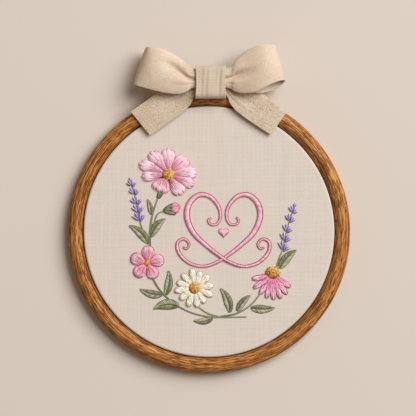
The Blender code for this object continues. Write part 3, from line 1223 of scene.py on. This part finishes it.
def stem_stitch(
    work: Threadwork,
    path: np.ndarray,
    colours: Sequence[str],
    radius: float,
    height: float = 0.35,
    stitch: float = 3.2,
    step: float = 0.4,
) -> None:
    """Sew a line of stem stitch: each stitch starts beside the middle of the one before.

    Args:
        work: The piece that gets the stitches.
        path: The line, in X, Y and, if it has a third column, height added to the usual one.
        colours: Its colours from start to end.
        radius: The thread's radius.
        height: The height of the thread's middle above the linen.
        stitch: A stitch's length.
        step: How finely the line is followed.
    """
    fine = evenly(path, step)
    lifts = fine[:, 2] if fine.shape[1] > 2 else np.zeros(len(fine))
    sides = side_of(fine[:, :2])
    span = max(4, round(stitch / step))
    half = max(2, span // 2)
    for start in range(0, max(1, len(fine) - half), half):
        rows = np.arange(start, min(start + span + 1, len(fine)))
        if len(rows) < 4:
            continue
        share = np.linspace(0, 1, len(rows))
        offset = radius * 0.75 * (1 - 2 * share)
        line = fine[rows, :2] + sides[rows] * offset[:, None]
        hump = height + lifts[rows] + 0.25 * radius * np.sin(pi * share)
        keep = np.unique(np.linspace(0, len(rows) - 1, 6).round().astype(int))
        colour = blended(colours, start / len(fine))
        work.lay(line[keep], hump[keep], colour, radius, 0.1)


@dataclass(frozen=True)
class Petal:
    """One petal in long and short stitch, drawn from its base along its own axis."""

    length: float  # from base to tip
    width: float  # its greatest width
    colours: Sequence[str]  # from base to tip
    edge: Sequence[str]  # the colours of the thread along its edge: a real outline, darker than the petal to stand as painted shade between petals
    base: float = 0.3  # its width at the base, as a share of the greatest
    shoulder: float = 0.7  # how far along it reaches its greatest width, as a share of its length
    drop: float = 0.3  # how much shorter its sides are than its middle, as a share of its length
    notches: tuple[float, ...] = ()  # where its tip is notched, from -1 on one side to 1 on the other
    notch: float = 0.08  # a notch's depth, as a share of the length
    notch_width: float = 0.13  # a notch's width, from side to side being 2
    dome: float = 1.2  # how high its middle stands
    spacing: float = 0.82  # the distance between threads where it is widest
    outline: float = 0.28  # the radius of the thread along its edge
    veins: tuple[float, ...] = ()  # where a dark vein runs, from -1 on one side to 1 on the other
    vein_tone: float = 0.68  # a vein's colour, as a share of the base's
    taper: float = 0.9  # above one, the petal stays narrow for longer
    vary: float = 0.12  # how much lighter or darker one thread may be than another
    pinch: float = 0.12  # how much it narrows again from shoulder to tip, as a share
    foot: float = 0.25  # how high its outermost stitches lie
    overlap: float = 0.06  # how far a stitch reaches back into the one before, as a share of the length
    point_step: float = 1.6  # the distance between a stitch's points
    vein_lift: float = 0.36  # how far a vein stands over the petal
    edge_gap: float = 0.26  # how far outside the stitches the edge's thread runs
    one_stitch: float = 9.0  # shorter than this, it is sewn in single stitches from base to tip

    def reach(self, side: float) -> float:
        """How far the petal reaches on a line from its base, side running from -1 to 1."""
        round_end = 1 - self.drop * (1 - (1 - min(abs(side), 1.0) ** 2.4) ** 0.5)
        cut = sum(self.notch * np.exp(-(((side - at) / self.notch_width) ** 2)) for at in self.notches)
        return self.length * (round_end - cut)

    def half_width(self, share: np.ndarray) -> np.ndarray:
        """Half the petal's width at a share of its length."""
        swell = np.sin(pi / 2 * np.clip(share / self.shoulder, 0, 1)) ** self.taper
        narrow = 1 - self.pinch * np.clip((share - self.shoulder) / (1 - self.shoulder + 1e-6), 0, 1) ** 2
        return self.width / 2 * (self.base + (1 - self.base) * swell) * narrow

    def line(self, side: float, shares: np.ndarray) -> np.ndarray:
        """Points on the petal's line at a side, at shares of that line's reach."""
        along = shares * self.reach(side)
        return np.column_stack([along, side * self.half_width(along / self.length)])

    def height(self, side: float, shares: np.ndarray) -> np.ndarray:
        """The padded petal's height: domed across, rising from the base and rounded at the tip."""
        across = (1 - abs(side) ** 3) ** 0.8
        along = np.clip(shares / 0.25, 0, 1) ** 0.7 * np.clip((1.04 - shares) / 0.16, 0, 1) ** 0.5
        return self.foot + self.dome * across * along

    def cuts(self, shift: float, odd: bool) -> list[float]:
        """Where the stitches of one line of thread meet, as shares of its reach."""
        if self.length < self.one_stitch:
            return [0.0, 1.0]
        return [0.0, 0.36 + shift, 0.72 + shift, 1.0] if odd else [0.0, 0.56 + shift, 1.0]

    def sew(
        self, work: Threadwork, centre: Pair, angle: float, squash: float = 1.0, inset: float = 0.0
    ) -> None:
        """Sew the petal.

        Args:
            work: The piece that gets the stitches.
            centre: The flower's centre.
            angle: The petal's direction, in degrees.
            squash: How much the flower is drawn together in Y, as one seen from the side is.
            inset: How far from the centre the petal's base is.
        """
        random = work.random

        def put(points: np.ndarray) -> np.ndarray:
            """Place the petal's own points on the cloth."""
            moved = turned(points + np.array([inset, 0.0]), angle)
            return moved * np.array([1.0, squash]) + np.array(centre)

        count = max(3, round(self.width / self.spacing))
        for i in range(count):
            side = -1 + 2 * (i + 0.5) / count
            cuts = self.cuts(random.uniform(-0.06, 0.06), i % 2 == 1)
            for near, far in zip(cuts, cuts[1:]):
                begin = max(0.0, near - self.overlap)
                reach_to = min(1.0, far + random.uniform(-0.015, 0.02))
                steps = max(5, round((reach_to - begin) * self.length / self.point_step))
                shares = np.linspace(begin, reach_to, steps)
                wobble = side + random.uniform(-0.25, 0.25) / count
                tint = blended(self.colours, (begin + reach_to) / 2 + random.uniform(-0.22, 0.22))
                work.lay(put(self.line(wobble, shares)), self.height(side, shares), tint, vary=self.vary)
        for side in self.veins:
            shares = np.linspace(0.08, 0.7 + random.uniform(-0.12, 0.12), 9)
            tint = blended(self.colours, 0.0) * self.vein_tone
            height = self.height(side, shares) + self.vein_lift
            work.lay(put(self.line(side, shares)), height, tint, radius=0.2, vary=0.1)
        self.sew_edge(work, put)

    def sew_edge(self, work: Threadwork, put: Callable[[np.ndarray], np.ndarray]) -> None:
        """Sew the line round the petal, just outside its stitches; its darker colours also stand as painted
        shade between petals.

        Args:
            work: The piece that gets the stitches.
            put: Places the petal's own points on the cloth.
        """
        shares = np.linspace(0.15, 1, 14)
        tip = np.array([self.line(side, np.array([1.0]))[0] for side in np.linspace(-1, 1, 27)])
        low, high = self.line(-1.0, shares), self.line(1.0, shares)[::-1]
        edge = np.concatenate([low, tip[1:-1], high])
        spread = edge + np.column_stack([np.zeros(len(edge)), self.edge_gap * np.sign(edge[:, 1])])
        spread[len(low) : -len(high), 0] += 0.2
        stem_stitch(work, put(spread), self.edge, self.outline, height=0.28, stitch=2.6)


@dataclass(frozen=True)
class Leaf:
    """A leaf in slanted satin stitch: two halves that meet at a midrib, one in lighter greens as painted
    light and one in darker greens as painted shade.
    """

    base: Pair  # where it joins its stem
    tip: Pair  # its point
    width: float  # its greatest width
    bend: float  # how far its midrib bows to its left, as a share of its length
    slant: float = 0.16  # how far ahead a stitch's outer end lies of its inner one, as a share
    crown: tuple[float, ...] = (0.22, 0.62, 0.72, 0.55, 0.2)  # a stitch's height from midrib to edge
    spacing: float = 0.7  # the distance between stitches along the midrib
    light: Sequence[str] = ("9C9E7B", "BDBC9B", "AAAB87")  # the colours of the half given painted light, base to tip
    dark: Sequence[str] = ("757752", "90916C", "7F805B")  # the colours of the other half, darker as painted shade
    rib: Sequence[str] = ("5F6341", "585C3D")  # the midrib's colours

    def midrib(self, shares: np.ndarray) -> np.ndarray:
        """Points on the midrib."""
        start, end = np.array(self.base), np.array(self.tip)
        along = end - start
        left = np.array([-along[1], along[0]])
        return start + shares[:, None] * along + (4 * self.bend * shares * (1 - shares))[:, None] * left

    def edge(self, shares: np.ndarray, hand: int) -> np.ndarray:
        """Points on the left edge (hand 1) or the right one (hand -1)."""
        middle = self.midrib(shares)
        half = self.width / 2 * np.sin(pi * np.clip(shares, 0, 1) ** 0.8) ** 0.85
        return middle + hand * half[:, None] * side_of(middle)

    def sew(self, work: Threadwork) -> None:
        """Sew the leaf."""
        length = float(np.linalg.norm(np.array(self.tip) - np.array(self.base)))
        count = round(length / self.spacing)
        fine = np.linspace(0, 1, 81)
        rib = self.midrib(fine)
        # Which half gets the painted light depends on the way the leaf points.
        lit = 1 if self.tip[1] > self.base[1] and self.tip[0] <= self.base[0] + 6 else -1
        t = np.linspace(0, 1, 5)[:, None]
        for hand in (1, -1):
            rim = self.edge(fine, hand)
            colours = self.light if hand == lit else self.dark
            for i in range(count):
                share = (i + 0.5) / count
                lead = self.slant + 0.05 * work.random.uniform(-1, 1)
                inner = rib[round(80 * share * 0.94)]
                outer = rim[round(80 * min(1.0, share + lead * (1 - share)))]
                path = inner * (1 - t) + outer * t
                rise = np.array(self.crown) * min(1.0, 3 * share * (1.4 - share))
                tint = blended(colours, share + work.random.uniform(-0.3, 0.3))
                work.lay(path, rise + 0.1, tint, radius=0.36, vary=0.34)
        stem_stitch(work, rib[3:76], self.rib, radius=0.24, height=0.55, stitch=2.4)
        for hand in (1, -1):
            rim = self.edge(np.linspace(0.02, 0.98, 40), hand)
            stem_stitch(work, rim, self.rib, radius=0.2, height=0.14, stitch=2.6)


@dataclass(frozen=True)
class KnottedCentre:
    """A flower's centre filled with French knots, in a sunflower's spiral."""

    radius_x: float  # half its width
    radius_y: float  # half its height
    dome: float  # how high its middle stands
    spacing: float = 0.95  # the distance between knots
    size: float = 0.62  # a knot's radius
    foot: float = 0.45  # how high its outermost knots lie
    flatness: float = 3.4  # the higher, the flatter its dome and the steeper its sides
    packing: float = 0.87  # the part of its square spacing that a knot takes up
    gold: Sequence[str] = ("8A5214", "C4822C", "E8B048", "FAD88A")  # its colours, darkest first: the dark end serves as painted shade and the light end as painted light

    def sew(self, work: Threadwork, centre: Pair) -> None:
        """Sew the knots.

        Args:
            work: The piece that gets them.
            centre: The flower's centre.
        """
        count = round(pi * self.radius_x * self.radius_y / (self.spacing**2 * self.packing))
        golden_angle = pi * (3 - 5**0.5)
        for i in range(count):
            share = ((i + 0.5) / count) ** 0.5
            angle = i * golden_angle
            x, y = share * self.radius_x * cos(angle), share * self.radius_y * sin(angle)
            height = self.foot + self.dome * (1 - share**self.flatness)
            # Painted light and shade: knots lighter towards the upper right, where the key light stands, and
            # darker towards the rim; the random part is their own tone.
            lit = 0.62 + 0.3 * (x + y) / self.radius_x - 0.3 * share**4 + work.random.uniform(-0.4, 0.4)
            size = self.size * work.random.uniform(0.85, 1.15)
            work.knot(centre[0] + x, centre[1] + y, height, size, blended(self.gold, lit))


@dataclass(frozen=True)
class Flower:
    """One flower: a ring of petals, and knots over their feet."""

    name: str  # the name of its stitches
    seed: int  # the seed for what differs from stitch to stitch
    centre: Pair  # its centre
    ring: Sequence[tuple[float, Petal]]  # each petal with its direction in degrees, in the order of sewing
    eye: KnottedCentre  # its knotted centre
    eye_rise: float = 0.0  # how far towards the bow the knots' middle lies from the centre
    thread: float = 0.4  # the thread's radius
    squash: float = 1.0  # how much it is drawn together in Y, as one seen from the side is
    inset: float = 1.5  # how far from the centre a petal's base is

    def sew(self, ground: float) -> Threadwork:
        """Sew the flower.

        Args:
            ground: The height of the linen's front.

        Returns:
            The stitches.
        """
        work = Threadwork(self.name, ground, self.seed, self.thread)
        for angle, petal in self.ring:
            petal.sew(work, self.centre, angle, self.squash, self.inset)
        self.eye.sew(work, (self.centre[0], self.centre[1] + self.eye_rise))
        return work


def cosmos() -> Flower:
    """The large pale pink cosmos, seen a little from the side."""
    soft = ("E894B2", "F6C0D0", "FBD5E0", "FEE7EE")
    warm = ("E58BAC", "F2ADC5", "F8C5D4", "FCDAE4")
    edge = ("B4567A", "D3839F", "EDB8C9", "D3839F", "B4567A")
    veins = (-0.62, -0.3, 0.04, 0.34, 0.64)
    kind = Petal(
        0, 0, soft, edge, 0.2, 0.78, 0.24, notches=(-0.4, 0.34), dome=1.8, spacing=0.7, veins=veins, taper=1.9
    )
    ring = [
        (angle, replace(kind, length=length, width=width, colours=colours))
        for angle, length, width, colours in (
            (5, 19.0, 9.8, soft),
            (47, 17.8, 11.2, warm),
            (90, 20.0, 9.0, soft),
            (123, 21.0, 9.2, soft),
            (156, 21.2, 8.8, soft),
            (186, 17.4, 8.2, soft),
            (243, 14.6, 12.6, warm),
            (300, 18.0, 9.8, soft),
            (333, 19.2, 7.8, warm),
        )
    ]
    eye = KnottedCentre(5.5, 4.9, 2.2)
    return Flower("cosmos_stitches", 31, (-29.2, 41.2), ring, eye, -0.3, thread=0.45, squash=0.86)


def five_petal() -> Flower:
    """The small flower of five round pink petals."""
    pink, edge = ("EA86A6", "FAB4C8", "FFDAE3"), ("C66080", "D87C96")
    petal = Petal(
        11.0, 8.6, pink, edge, 0.25, 0.68, 0.4, dome=1.7, veins=(-0.35, 0.35), taper=1.7, vary=0.16
    )
    ring = [(angle, petal) for angle in (14, 84, 158, 229, 300)]
    eye = KnottedCentre(2.6, 2.5, 1.0, spacing=0.85, size=0.52)
    return Flower("five_petal_stitches", 43, (-44.5, -22.5), ring, eye, inset=1.2)


def daisy() -> Flower:
    """The cream daisy."""
    cream, edge = ("E8DCC0", "FBF5E6", "FFFDF4"), ("BCAA84", "CDBF9B")
    petal = Petal(10.6, 4.1, cream, edge, 0.4, 0.66, dome=1.5, vary=0.05)
    ring = [
        (30 * k + 9 + 2 * sin(1.7 * k), replace(petal, length=petal.length + 0.7 * sin(2.4 * k)))
        for k in range(12)
    ]
    eye = KnottedCentre(4.3, 4.2, 1.6)
    return Flower("daisy_stitches", 57, (-10.5, -40.5), ring, eye, thread=0.44, inset=3.0)


def coneflower() -> Flower:
    """The coneflower: a golden cone over drooping rose petals."""
    rose, edge = ("D8689C", "F8A8C8", "FFE0EA"), ("B04E82", "C86492")
    petal = Petal(15.0, 3.2, rose, edge, 0.3, 0.64, 0.26, spacing=0.8, outline=0.24, taper=1.6, vary=0.18)
    angles = (191, 214, 235, 254, 271, 288, 306, 325)
    lengths = (13.6, 15.2, 15.0, 15.6, 16.2, 16.2, 15.4, 13.4)
    ring = [(angle, replace(petal, length=length)) for angle, length in zip(angles, lengths)]
    return Flower("coneflower_stitches", 61, (46.0, -31.0), ring, KnottedCentre(5.3, 4.5, 2.2), 1.8)


STEMS: tuple[tuple[float, Sequence[Pair]], ...] = (  # each stem's width and the points that it passes
    (0.9, ((-42.3, -12), (-42, 3), (-40, 14), (-36.3, 25))),
    (0.6, ((-41.6, -2), (-39, 7), (-37, 12.4), (-32.6, 15.0))),
    (0.5, ((-43.8, -9), (-47, 0), (-49.8, 8))),
    (0.75, ((-41.5, -31), (-35, -42), (-24, -52), (-11, -58.5), (4, -61.2), (27, -61))),
    (0.6, ((8, -61.3), (-1, -58.5), (-8, -53.5))),
    (0.75, ((8, -60.9), (20, -58.5), (31, -51.5), (39, -41))),
    (0.5, ((48, -27), (50, -20), (53, -13))),
)
LEAVES = (
    Leaf((-41.4, 12), (-44.2, 23.5), 3.6, -0.05),
    Leaf((-42, -4.5), (-31, 9.5), 6.0, 0.10),
    Leaf((-43.5, -9), (-57.5, 4.5), 6.2, -0.10),
    Leaf((-31.5, -46), (-29, -27.5), 5.6, -0.08),
    Leaf((-33, -45), (-49.5, -41), 5.6, 0.10),
    Leaf((-21, -53.5), (-40, -55.5), 7.4, -0.12),
    Leaf((3, -61.5), (-11, -63.5), 4.6, 0.12),
    Leaf((15, -58.5), (8, -40.5), 6.0, -0.10),
    Leaf((20, -57.5), (30, -45.5), 4.8, 0.08),
    Leaf((29.5, -54.5), (47.5, -54.5), 5.8, -0.06),
    Leaf((50.5, -27), (63, -13), 6.4, 0.08),
)


@dataclass(frozen=True)
class Lavender:
    """A lavender spike: whorls of small violet petals up a stalk, smaller towards the top."""

    name: str  # the name of its stitches
    seed: int  # the seed for what differs from petal to petal
    foot: Pair  # the lowest whorl's place
    top: Pair  # the spike's top
    lean: float  # how far the stalk bows to its left
    whorls: int = 5  # how many whorls
    floret_length: float = 6.4  # a floret's length in the lowest whorl
    turns: tuple[Pair, ...] = ((12, 1.0), (44, 0.95))  # a floret's angle and share of the length
    shrink: float = 0.42  # how much smaller the florets are at the top, as a share
    stalk: Sequence[str] = ("767A56", "78708A")  # the stalk's colours
    violet: Sequence[str] = ("593F7A", "7F64A3", "A089C2")  # the colours of a floret's two side stitches, base to tip: darker, as painted shade
    lilac: Sequence[str] = ("9680B9", "C8B5DD", "EEE6F6")  # the colours of the stitch over them, base to tip: lighter, as a painted highlight

    def sew(self, ground: float) -> Threadwork:
        """Sew the spike.

        Args:
            ground: The height of the linen's front.

        Returns:
            The stitches.
        """
        work = Threadwork(self.name, ground, self.seed)
        start, end = np.array(self.foot, float), np.array(self.top, float)
        along = end - start
        length = float(np.linalg.norm(along))
        heading = np.degrees(np.arctan2(along[1], along[0]))
        left = np.array([-along[1], along[0]]) / length
        shares = np.linspace(0, 1, 30)
        stalk = start + shares[:, None] * along + (self.lean * np.sin(pi * shares))[:, None] * left
        stem_stitch(work, stalk, self.stalk, radius=0.28, height=0.3)
        for k in range(self.whorls):
            share = k / (self.whorls - 0.3)
            at = stalk[round(29 * share)]
            size = 1.0 - self.shrink * share
            for hand in (1, -1):
                for turn, reach in self.turns:
                    angle = heading + hand * turn + work.random.uniform(-5, 5)
                    floret_foot = at + left * hand * 0.8 + along / length * (0.5 * hand - 0.012 * turn)
                    bow = -0.6 * hand * size
                    self.sew_floret(work, floret_foot, angle, self.floret_length * size * reach, bow)
        self.sew_floret(work, stalk[-2], heading, self.floret_length / 2, 0.0)
        return work

    def sew_floret(self, work: Threadwork, at: np.ndarray, angle: float, length: float, bow: float) -> None:
        """Sew one floret: two darker stitches that part and meet again, as painted shade at its sides, and a
        lighter one over them, as a painted highlight.

        Args:
            work: The piece that gets the stitches.
            at: Where it starts.
            angle: Its direction, in degrees.
            length: Its length.
            bow: How far it bows to its left.
        """
        shares = np.linspace(0, 1, 6)
        swell = np.sin(pi * shares)
        for apart, height, colours, radius in (
            (0.6, 0.35, self.violet, 0.42),
            (-0.6, 0.35, self.violet, 0.42),
            (0, 0.75, self.lilac, 0.36),
        ):
            path = turned(np.column_stack([length * shares, (apart + bow) * swell]), angle) + at
            work.lay(path, height + 0.3 * swell, blended(colours, shares), radius, vary=0.15)


@dataclass(frozen=True)
class Embroidery:
    """The whole design: a wreath of flowers and leaves round a flourished heart."""

    place: HoopPlace  # where the hoop lies
    sage: Sequence[str] = ("767A56", "8A8E6B", "969977")  # the stems' colours

    def stems(self) -> Threadwork:
        """The wreath's stems, each two rows of stem stitch side by side, and a calyx."""
        work = Threadwork("stem_stitches", self.place.face_height, 11, radius=0.3)
        for width, points in STEMS:
            path = smoothed(points, False, 12)
            sides = side_of(path) * np.linspace(1, 0.45, len(path))[:, None]
            for hand, colours in ((-1, self.sage[:2]), (1, self.sage[1:])):
                stem_stitch(work, path + sides * hand * width / 2, colours, radius=0.27, height=0.32)
        calyx = Petal(5.4, 2.7, ("5F6B46", "7C8863"), ("56613F",), shoulder=0.8, drop=0.2, dome=0.9)
        calyx.sew(work, (-36.8, 23.4), angle=64)
        return work

    def leaves(self) -> Threadwork:
        """The leaves, each with its own size and bend."""
        work = Threadwork("leaf_stitches", self.place.face_height, 23)
        for leaf in LEAVES:
            leaf.sew(work)
        return work

    def bud(self) -> Threadwork:
        """The pink bud in its green cup."""
        work = Threadwork("bud_stitches", self.place.face_height, 71)
        pink = Petal(6.4, 4.2, ("D8648C", "F3A6BF", "FCD6E1"), ("C96585", "E59AB2"), 0.6, 0.5)
        for angle, length, width in ((10, 6.4, 4.2), (-20, 5.6, 3.2), (36, 5.4, 3.0)):
            replace(pink, length=length, width=width).sew(work, (-27.2, 16.8), angle)
        sepal = Petal(9.0, 1.5, ("5F6B48", "A6AF88"), ("3E4931",), 0.35, 0.55, 0.6, dome=1.3)
        for angle, length in ((35, 8.2), (-14, 9.0), (11, 6.4)):
            replace(sepal, length=length).sew(work, (-33.0, 15.0), angle)
        return work

    def build(self, finish: Material) -> list[Object]:
        """Sew every motif.

        Args:
            finish: The thread.

        Returns:
            The pieces.
        """
        trees = {"runs": thread_tree(), "knots": knot_tree()}
        ground = self.place.face_height
        works = [
            self.stems(),
            self.leaves(),
            *(flower.sew(ground) for flower in (cosmos(), five_petal(), daisy(), coneflower())),
            self.bud(),
            Lavender("lavender_left_stitches", 83, (-49.8, 8.0), (-56.4, 37.0), -0.8).sew(ground),
            Lavender("lavender_right_stitches", 89, (53.0, -13.0), (61.4, 18.5), 0.8).sew(ground),
            FlourishedHeart().sew(ground),
        ]
        return [piece for work in works for piece in work.build(self.place, trees, finish)]


class StrokePoint(NamedTuple):
    """A point that a stroke of the flourish passes, from the heart's own axis."""

    x: float
    y: float
    width: float
    lift: float


HEART_STROKE = (
    StrokePoint(8.6, 8.0, 1.3, 0.0),  # the curl inside the lobe
    StrokePoint(10.6, 6.2, 1.4, 0.0),
    StrokePoint(9.0, 3.4, 1.5, 0.0),
    StrokePoint(4.8, 3.4, 1.6, 0.0),
    StrokePoint(2.2, 8.0, 1.9, 0.0),  # beside the heart's cleft
    StrokePoint(3.4, 15.5, 2.4, 0.0),
    StrokePoint(9.5, 22.6, 2.9, 0.0),
    StrokePoint(17.5, 23.6, 3.4, 0.0),  # over the lobe
    StrokePoint(24.0, 17.5, 3.9, 0.0),
    StrokePoint(25.4, 8.0, 4.0, 0.0),
    StrokePoint(21.0, -2.5, 3.6, 0.0),
    StrokePoint(12.5, -11.0, 2.9, 0.0),
    StrokePoint(3.5, -18.0, 2.2, 0.2),
    StrokePoint(-4.5, -23.0, 1.9, 0.4),  # past the heart's point, over the other stroke
    StrokePoint(-14.0, -26.0, 1.9, 0.0),
    StrokePoint(-24.0, -23.6, 2.2, 0.0),
    StrokePoint(-31.0, -16.6, 2.4, 0.0),
    StrokePoint(-32.0, -9.6, 2.1, 0.0),
    StrokePoint(-27.6, -6.8, 1.8, 0.0),
    StrokePoint(-24.0, -10.0, 1.5, 0.0),
    StrokePoint(-25.6, -13.8, 1.3, 0.0),
    StrokePoint(-28.2, -12.6, 1.2, 0.0),  # the curl at its end
)


@dataclass(frozen=True)
class FlourishedHeart:
    """The flourish in the middle: two mirrored strokes that draw a heart, filled and outlined."""

    axis_x: float = 10.5  # the heart's axis
    axis_y: float = 2.0  # the height that its points are drawn from
    size: float = 1.03  # how much larger than its table it is sewn
    spacing: float = 0.62  # the distance between satin stitches
    slant: float = 0.55  # how far a satin stitch leans, as a share of its half width
    crown: tuple[float, ...] = (0.1, 0.8, 1.0, 0.8, 0.1)  # a satin stitch's height from edge to edge
    over: float = 0.25  # how much higher one stroke passes over the other
    small_width: float = 7.0  # the small heart's width
    small_drop: float = 2.5  # how far under the flourish's own middle it stands
    pale: Sequence[str] = ("F1B2C6", "FAD3DE", "F5C0D0")  # the fill's colours
    rose: Sequence[str] = ("C45F80", "B85074")  # the outline's colours

    def stroke(self, work: Threadwork, mirror: int) -> None:
        """Sew one stroke: slanted satin stitch between two lines of stem stitch.

        Args:
            work: The piece that gets the stitches.
            mirror: 1 for the stroke as its table has it, -1 for its mirror image.
        """
        rows = evenly(smoothed(HEART_STROKE, False, 10), self.spacing)
        path = rows[:, :2] * (mirror * self.size, self.size) + (self.axis_x, self.axis_y)
        sides = side_of(path)
        half = rows[:, 2] / 2 - 0.25
        lift = rows[:, 3] + (self.over if mirror < 0 else 0.0) * (rows[:, 3] > 0.05)
        along = np.column_stack([sides[:, 1], -sides[:, 0]])
        t = np.linspace(0, 1, 5)[:, None]
        for i in range(2, len(path) - 2):
            slant = along[i] * half[i] * self.slant * mirror
            start, end = path[i] - sides[i] * half[i] - slant, path[i] + sides[i] * half[i] + slant
            rise = 0.2 + lift[i] + 0.2 * rows[i, 2] * np.array(self.crown)
            shade = blended(self.pale, work.random.uniform(0, 1))
            work.lay(start * (1 - t) + end * t, rise, shade, radius=0.35, vary=0.18)
        for hand in (1, -1):
            line = path + sides * (hand * (half + 0.1))[:, None]
            stem_stitch(work, np.column_stack([line, lift]), self.rose, radius=0.29, height=0.42, stitch=2.8)

    def small_heart(self, work: Threadwork, x: float, y: float, size: float) -> None:
        """Sew a small filled heart.

        Args:
            work: The piece that gets the stitches.
            x: Its middle.
            y: Its middle.
            size: Its width.
        """
        turn = np.linspace(0, tau, 61)
        height = 13 * np.cos(turn) - 5 * np.cos(2 * turn) - 2 * np.cos(3 * turn) - np.cos(4 * turn)
        outline = np.column_stack([16 * np.sin(turn) ** 3, height]) * (size / 32)
        right = outline[:31]
        t = np.linspace(0, 1, 6)
        for across in np.linspace(0.04, 0.96, round(size / 2 / 0.42)) * size / 2:
            near = np.where(right[:, 0] >= across)[0]
            top, bottom = right[near[0], 1], right[near[-1], 1]
            for hand in (1, -1):
                path = np.column_stack([np.full(6, x + hand * across), y + top + (bottom - top) * t])
                dome = 0.3 + 1.1 * (1 - (2 * across / size) ** 2) * np.sin(pi * np.clip(t, 0.06, 0.94)) ** 0.6
                shade = blended(self.pale, work.random.uniform(0, 1))
                work.lay(path, dome, shade, radius=0.28, vary=0.06)
        edge = outline * 1.04 + np.array([x, y])
        stem_stitch(work, edge, self.rose, radius=0.22, height=0.2, stitch=1.8)

    def sew(self, ground: float) -> Threadwork:
        """Sew the flourish.

        Args:
            ground: The height of the linen's front.

        Returns:
            The stitches.
        """
        work = Threadwork("flourish_stitches", ground, 97)
        for mirror in (1, -1):
            self.stroke(work, mirror)
        self.small_heart(work, self.axis_x, self.axis_y - self.small_drop, self.small_width)
        return work


@dataclass(frozen=True)
class Studio:
    """A plain pale floor, soft studio light from the upper right, and a camera straight above."""

    floor: str = "D9CEC3"  # the floor's colour
    floor_half: float = 1.5  # half the floor's side, in metres, like the rest
    floor_gap: float = 0.0002  # how far under the hoop's back the floor lies
    key_place: Triple = (2.7, 2.1, 3.8)  # where the key light stands
    key_size: float = 3.6  # its side
    key_power: float = 312.0  # its power in watts
    key_colour: str = "FDFEFF"  # its colour
    room_colour: str = "FFEAD4"  # the colour of the soft light all round
    room_strength: float = 0.24  # its strength
    view_width: float = 0.2982  # how much the camera sees at the hoop's front
    view_at: Pair = (-0.0007, 0.0009)  # the point that it looks at
    distance: float = 2.0  # the camera's height above the hoop's front

    def lay_floor(self) -> None:
        """Lay the floor under the hoop's back."""
        half = self.floor_half
        corners = [(-half, -half, 0), (half, -half, 0), (half, half, 0), (-half, half, 0)]
        mesh = bpy.data.meshes.new("floor")
        mesh.from_pydata(corners, [], [(0, 1, 2, 3)])
        material, tree = start_material("pale_floor_paint")
        grain = output(tree, "ShaderNodeTexNoise", {"Scale": 260.0, "Detail": 3.0})
        end_material(material, linear(self.floor), grain, (0.1, 0.1), {"Roughness": 0.9})
        floor = add_object("floor", mesh, material)
        floor.location.z = -self.floor_gap

    def add_lights(self) -> None:
        """Light the hoop from the upper right, with a soft fill all round."""
        data = bpy.data.lights.new("key", "AREA")
        data.size = self.key_size
        data.energy = self.key_power
        data.color = linear(self.key_colour)[:3]
        light = bpy.data.objects.new("key", data)
        light.location = self.key_place
        light.rotation_euler = (-Vector(self.key_place)).to_track_quat("-Z", "Y").to_euler()
        bpy.context.scene.collection.objects.link(light)
        world = bpy.data.worlds.new("soft_room")
        world.use_nodes = True
        feed(
            world.node_tree.nodes["Background"],
            {"Color": linear(self.room_colour), "Strength": self.room_strength},
        )
        bpy.context.scene.world = world

    def add_camera(self, place: HoopPlace) -> None:
        """Add the camera.

        Args:
            place: Where the hoop lies.
        """
        data = bpy.data.cameras.new("camera")
        data.angle = 2 * atan(self.view_width / 2 / self.distance)
        camera = bpy.data.objects.new("camera", data)
        camera.location = (*self.view_at, place.depth * MM + self.distance)
        bpy.context.scene.collection.objects.link(camera)
        bpy.context.scene.camera = camera
        bpy.context.scene.view_settings.view_transform = "Standard"

    def build(self, place: HoopPlace) -> None:
        """Set up the studio round the hoop."""
        self.lay_floor()
        self.add_lights()
        self.add_camera(place)


def report(pieces: Iterable[Object]) -> None:
    """Log each piece with how many faces it has."""
    for piece in pieces:
        LOG.info("%-28s %7d faces", piece.name, len(piece.data.polygons))


def main() -> None:
    """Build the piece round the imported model."""
    logging.basicConfig(level=logging.INFO, format="%(message)s")
    for obj in list(bpy.data.objects):
        bpy.data.objects.remove(obj)
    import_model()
    place = HoopPlace.measured()
    Studio().build(place)
    report(Hoops().build(place))
    linen = Linen()
    cloth = PlainCloth("natural_linen", Weave.WOVEN, "E2D7CC", "D9CDC1", 0.95, 0.1, slub=0.5)
    ground = linen.build(place, cloth.build())
    stitches = Embroidery(place).build(StrandedCotton().build())
    report([ground, *stitches])
    report(Bow().build(place))


if __name__ == "__main__":
    main()
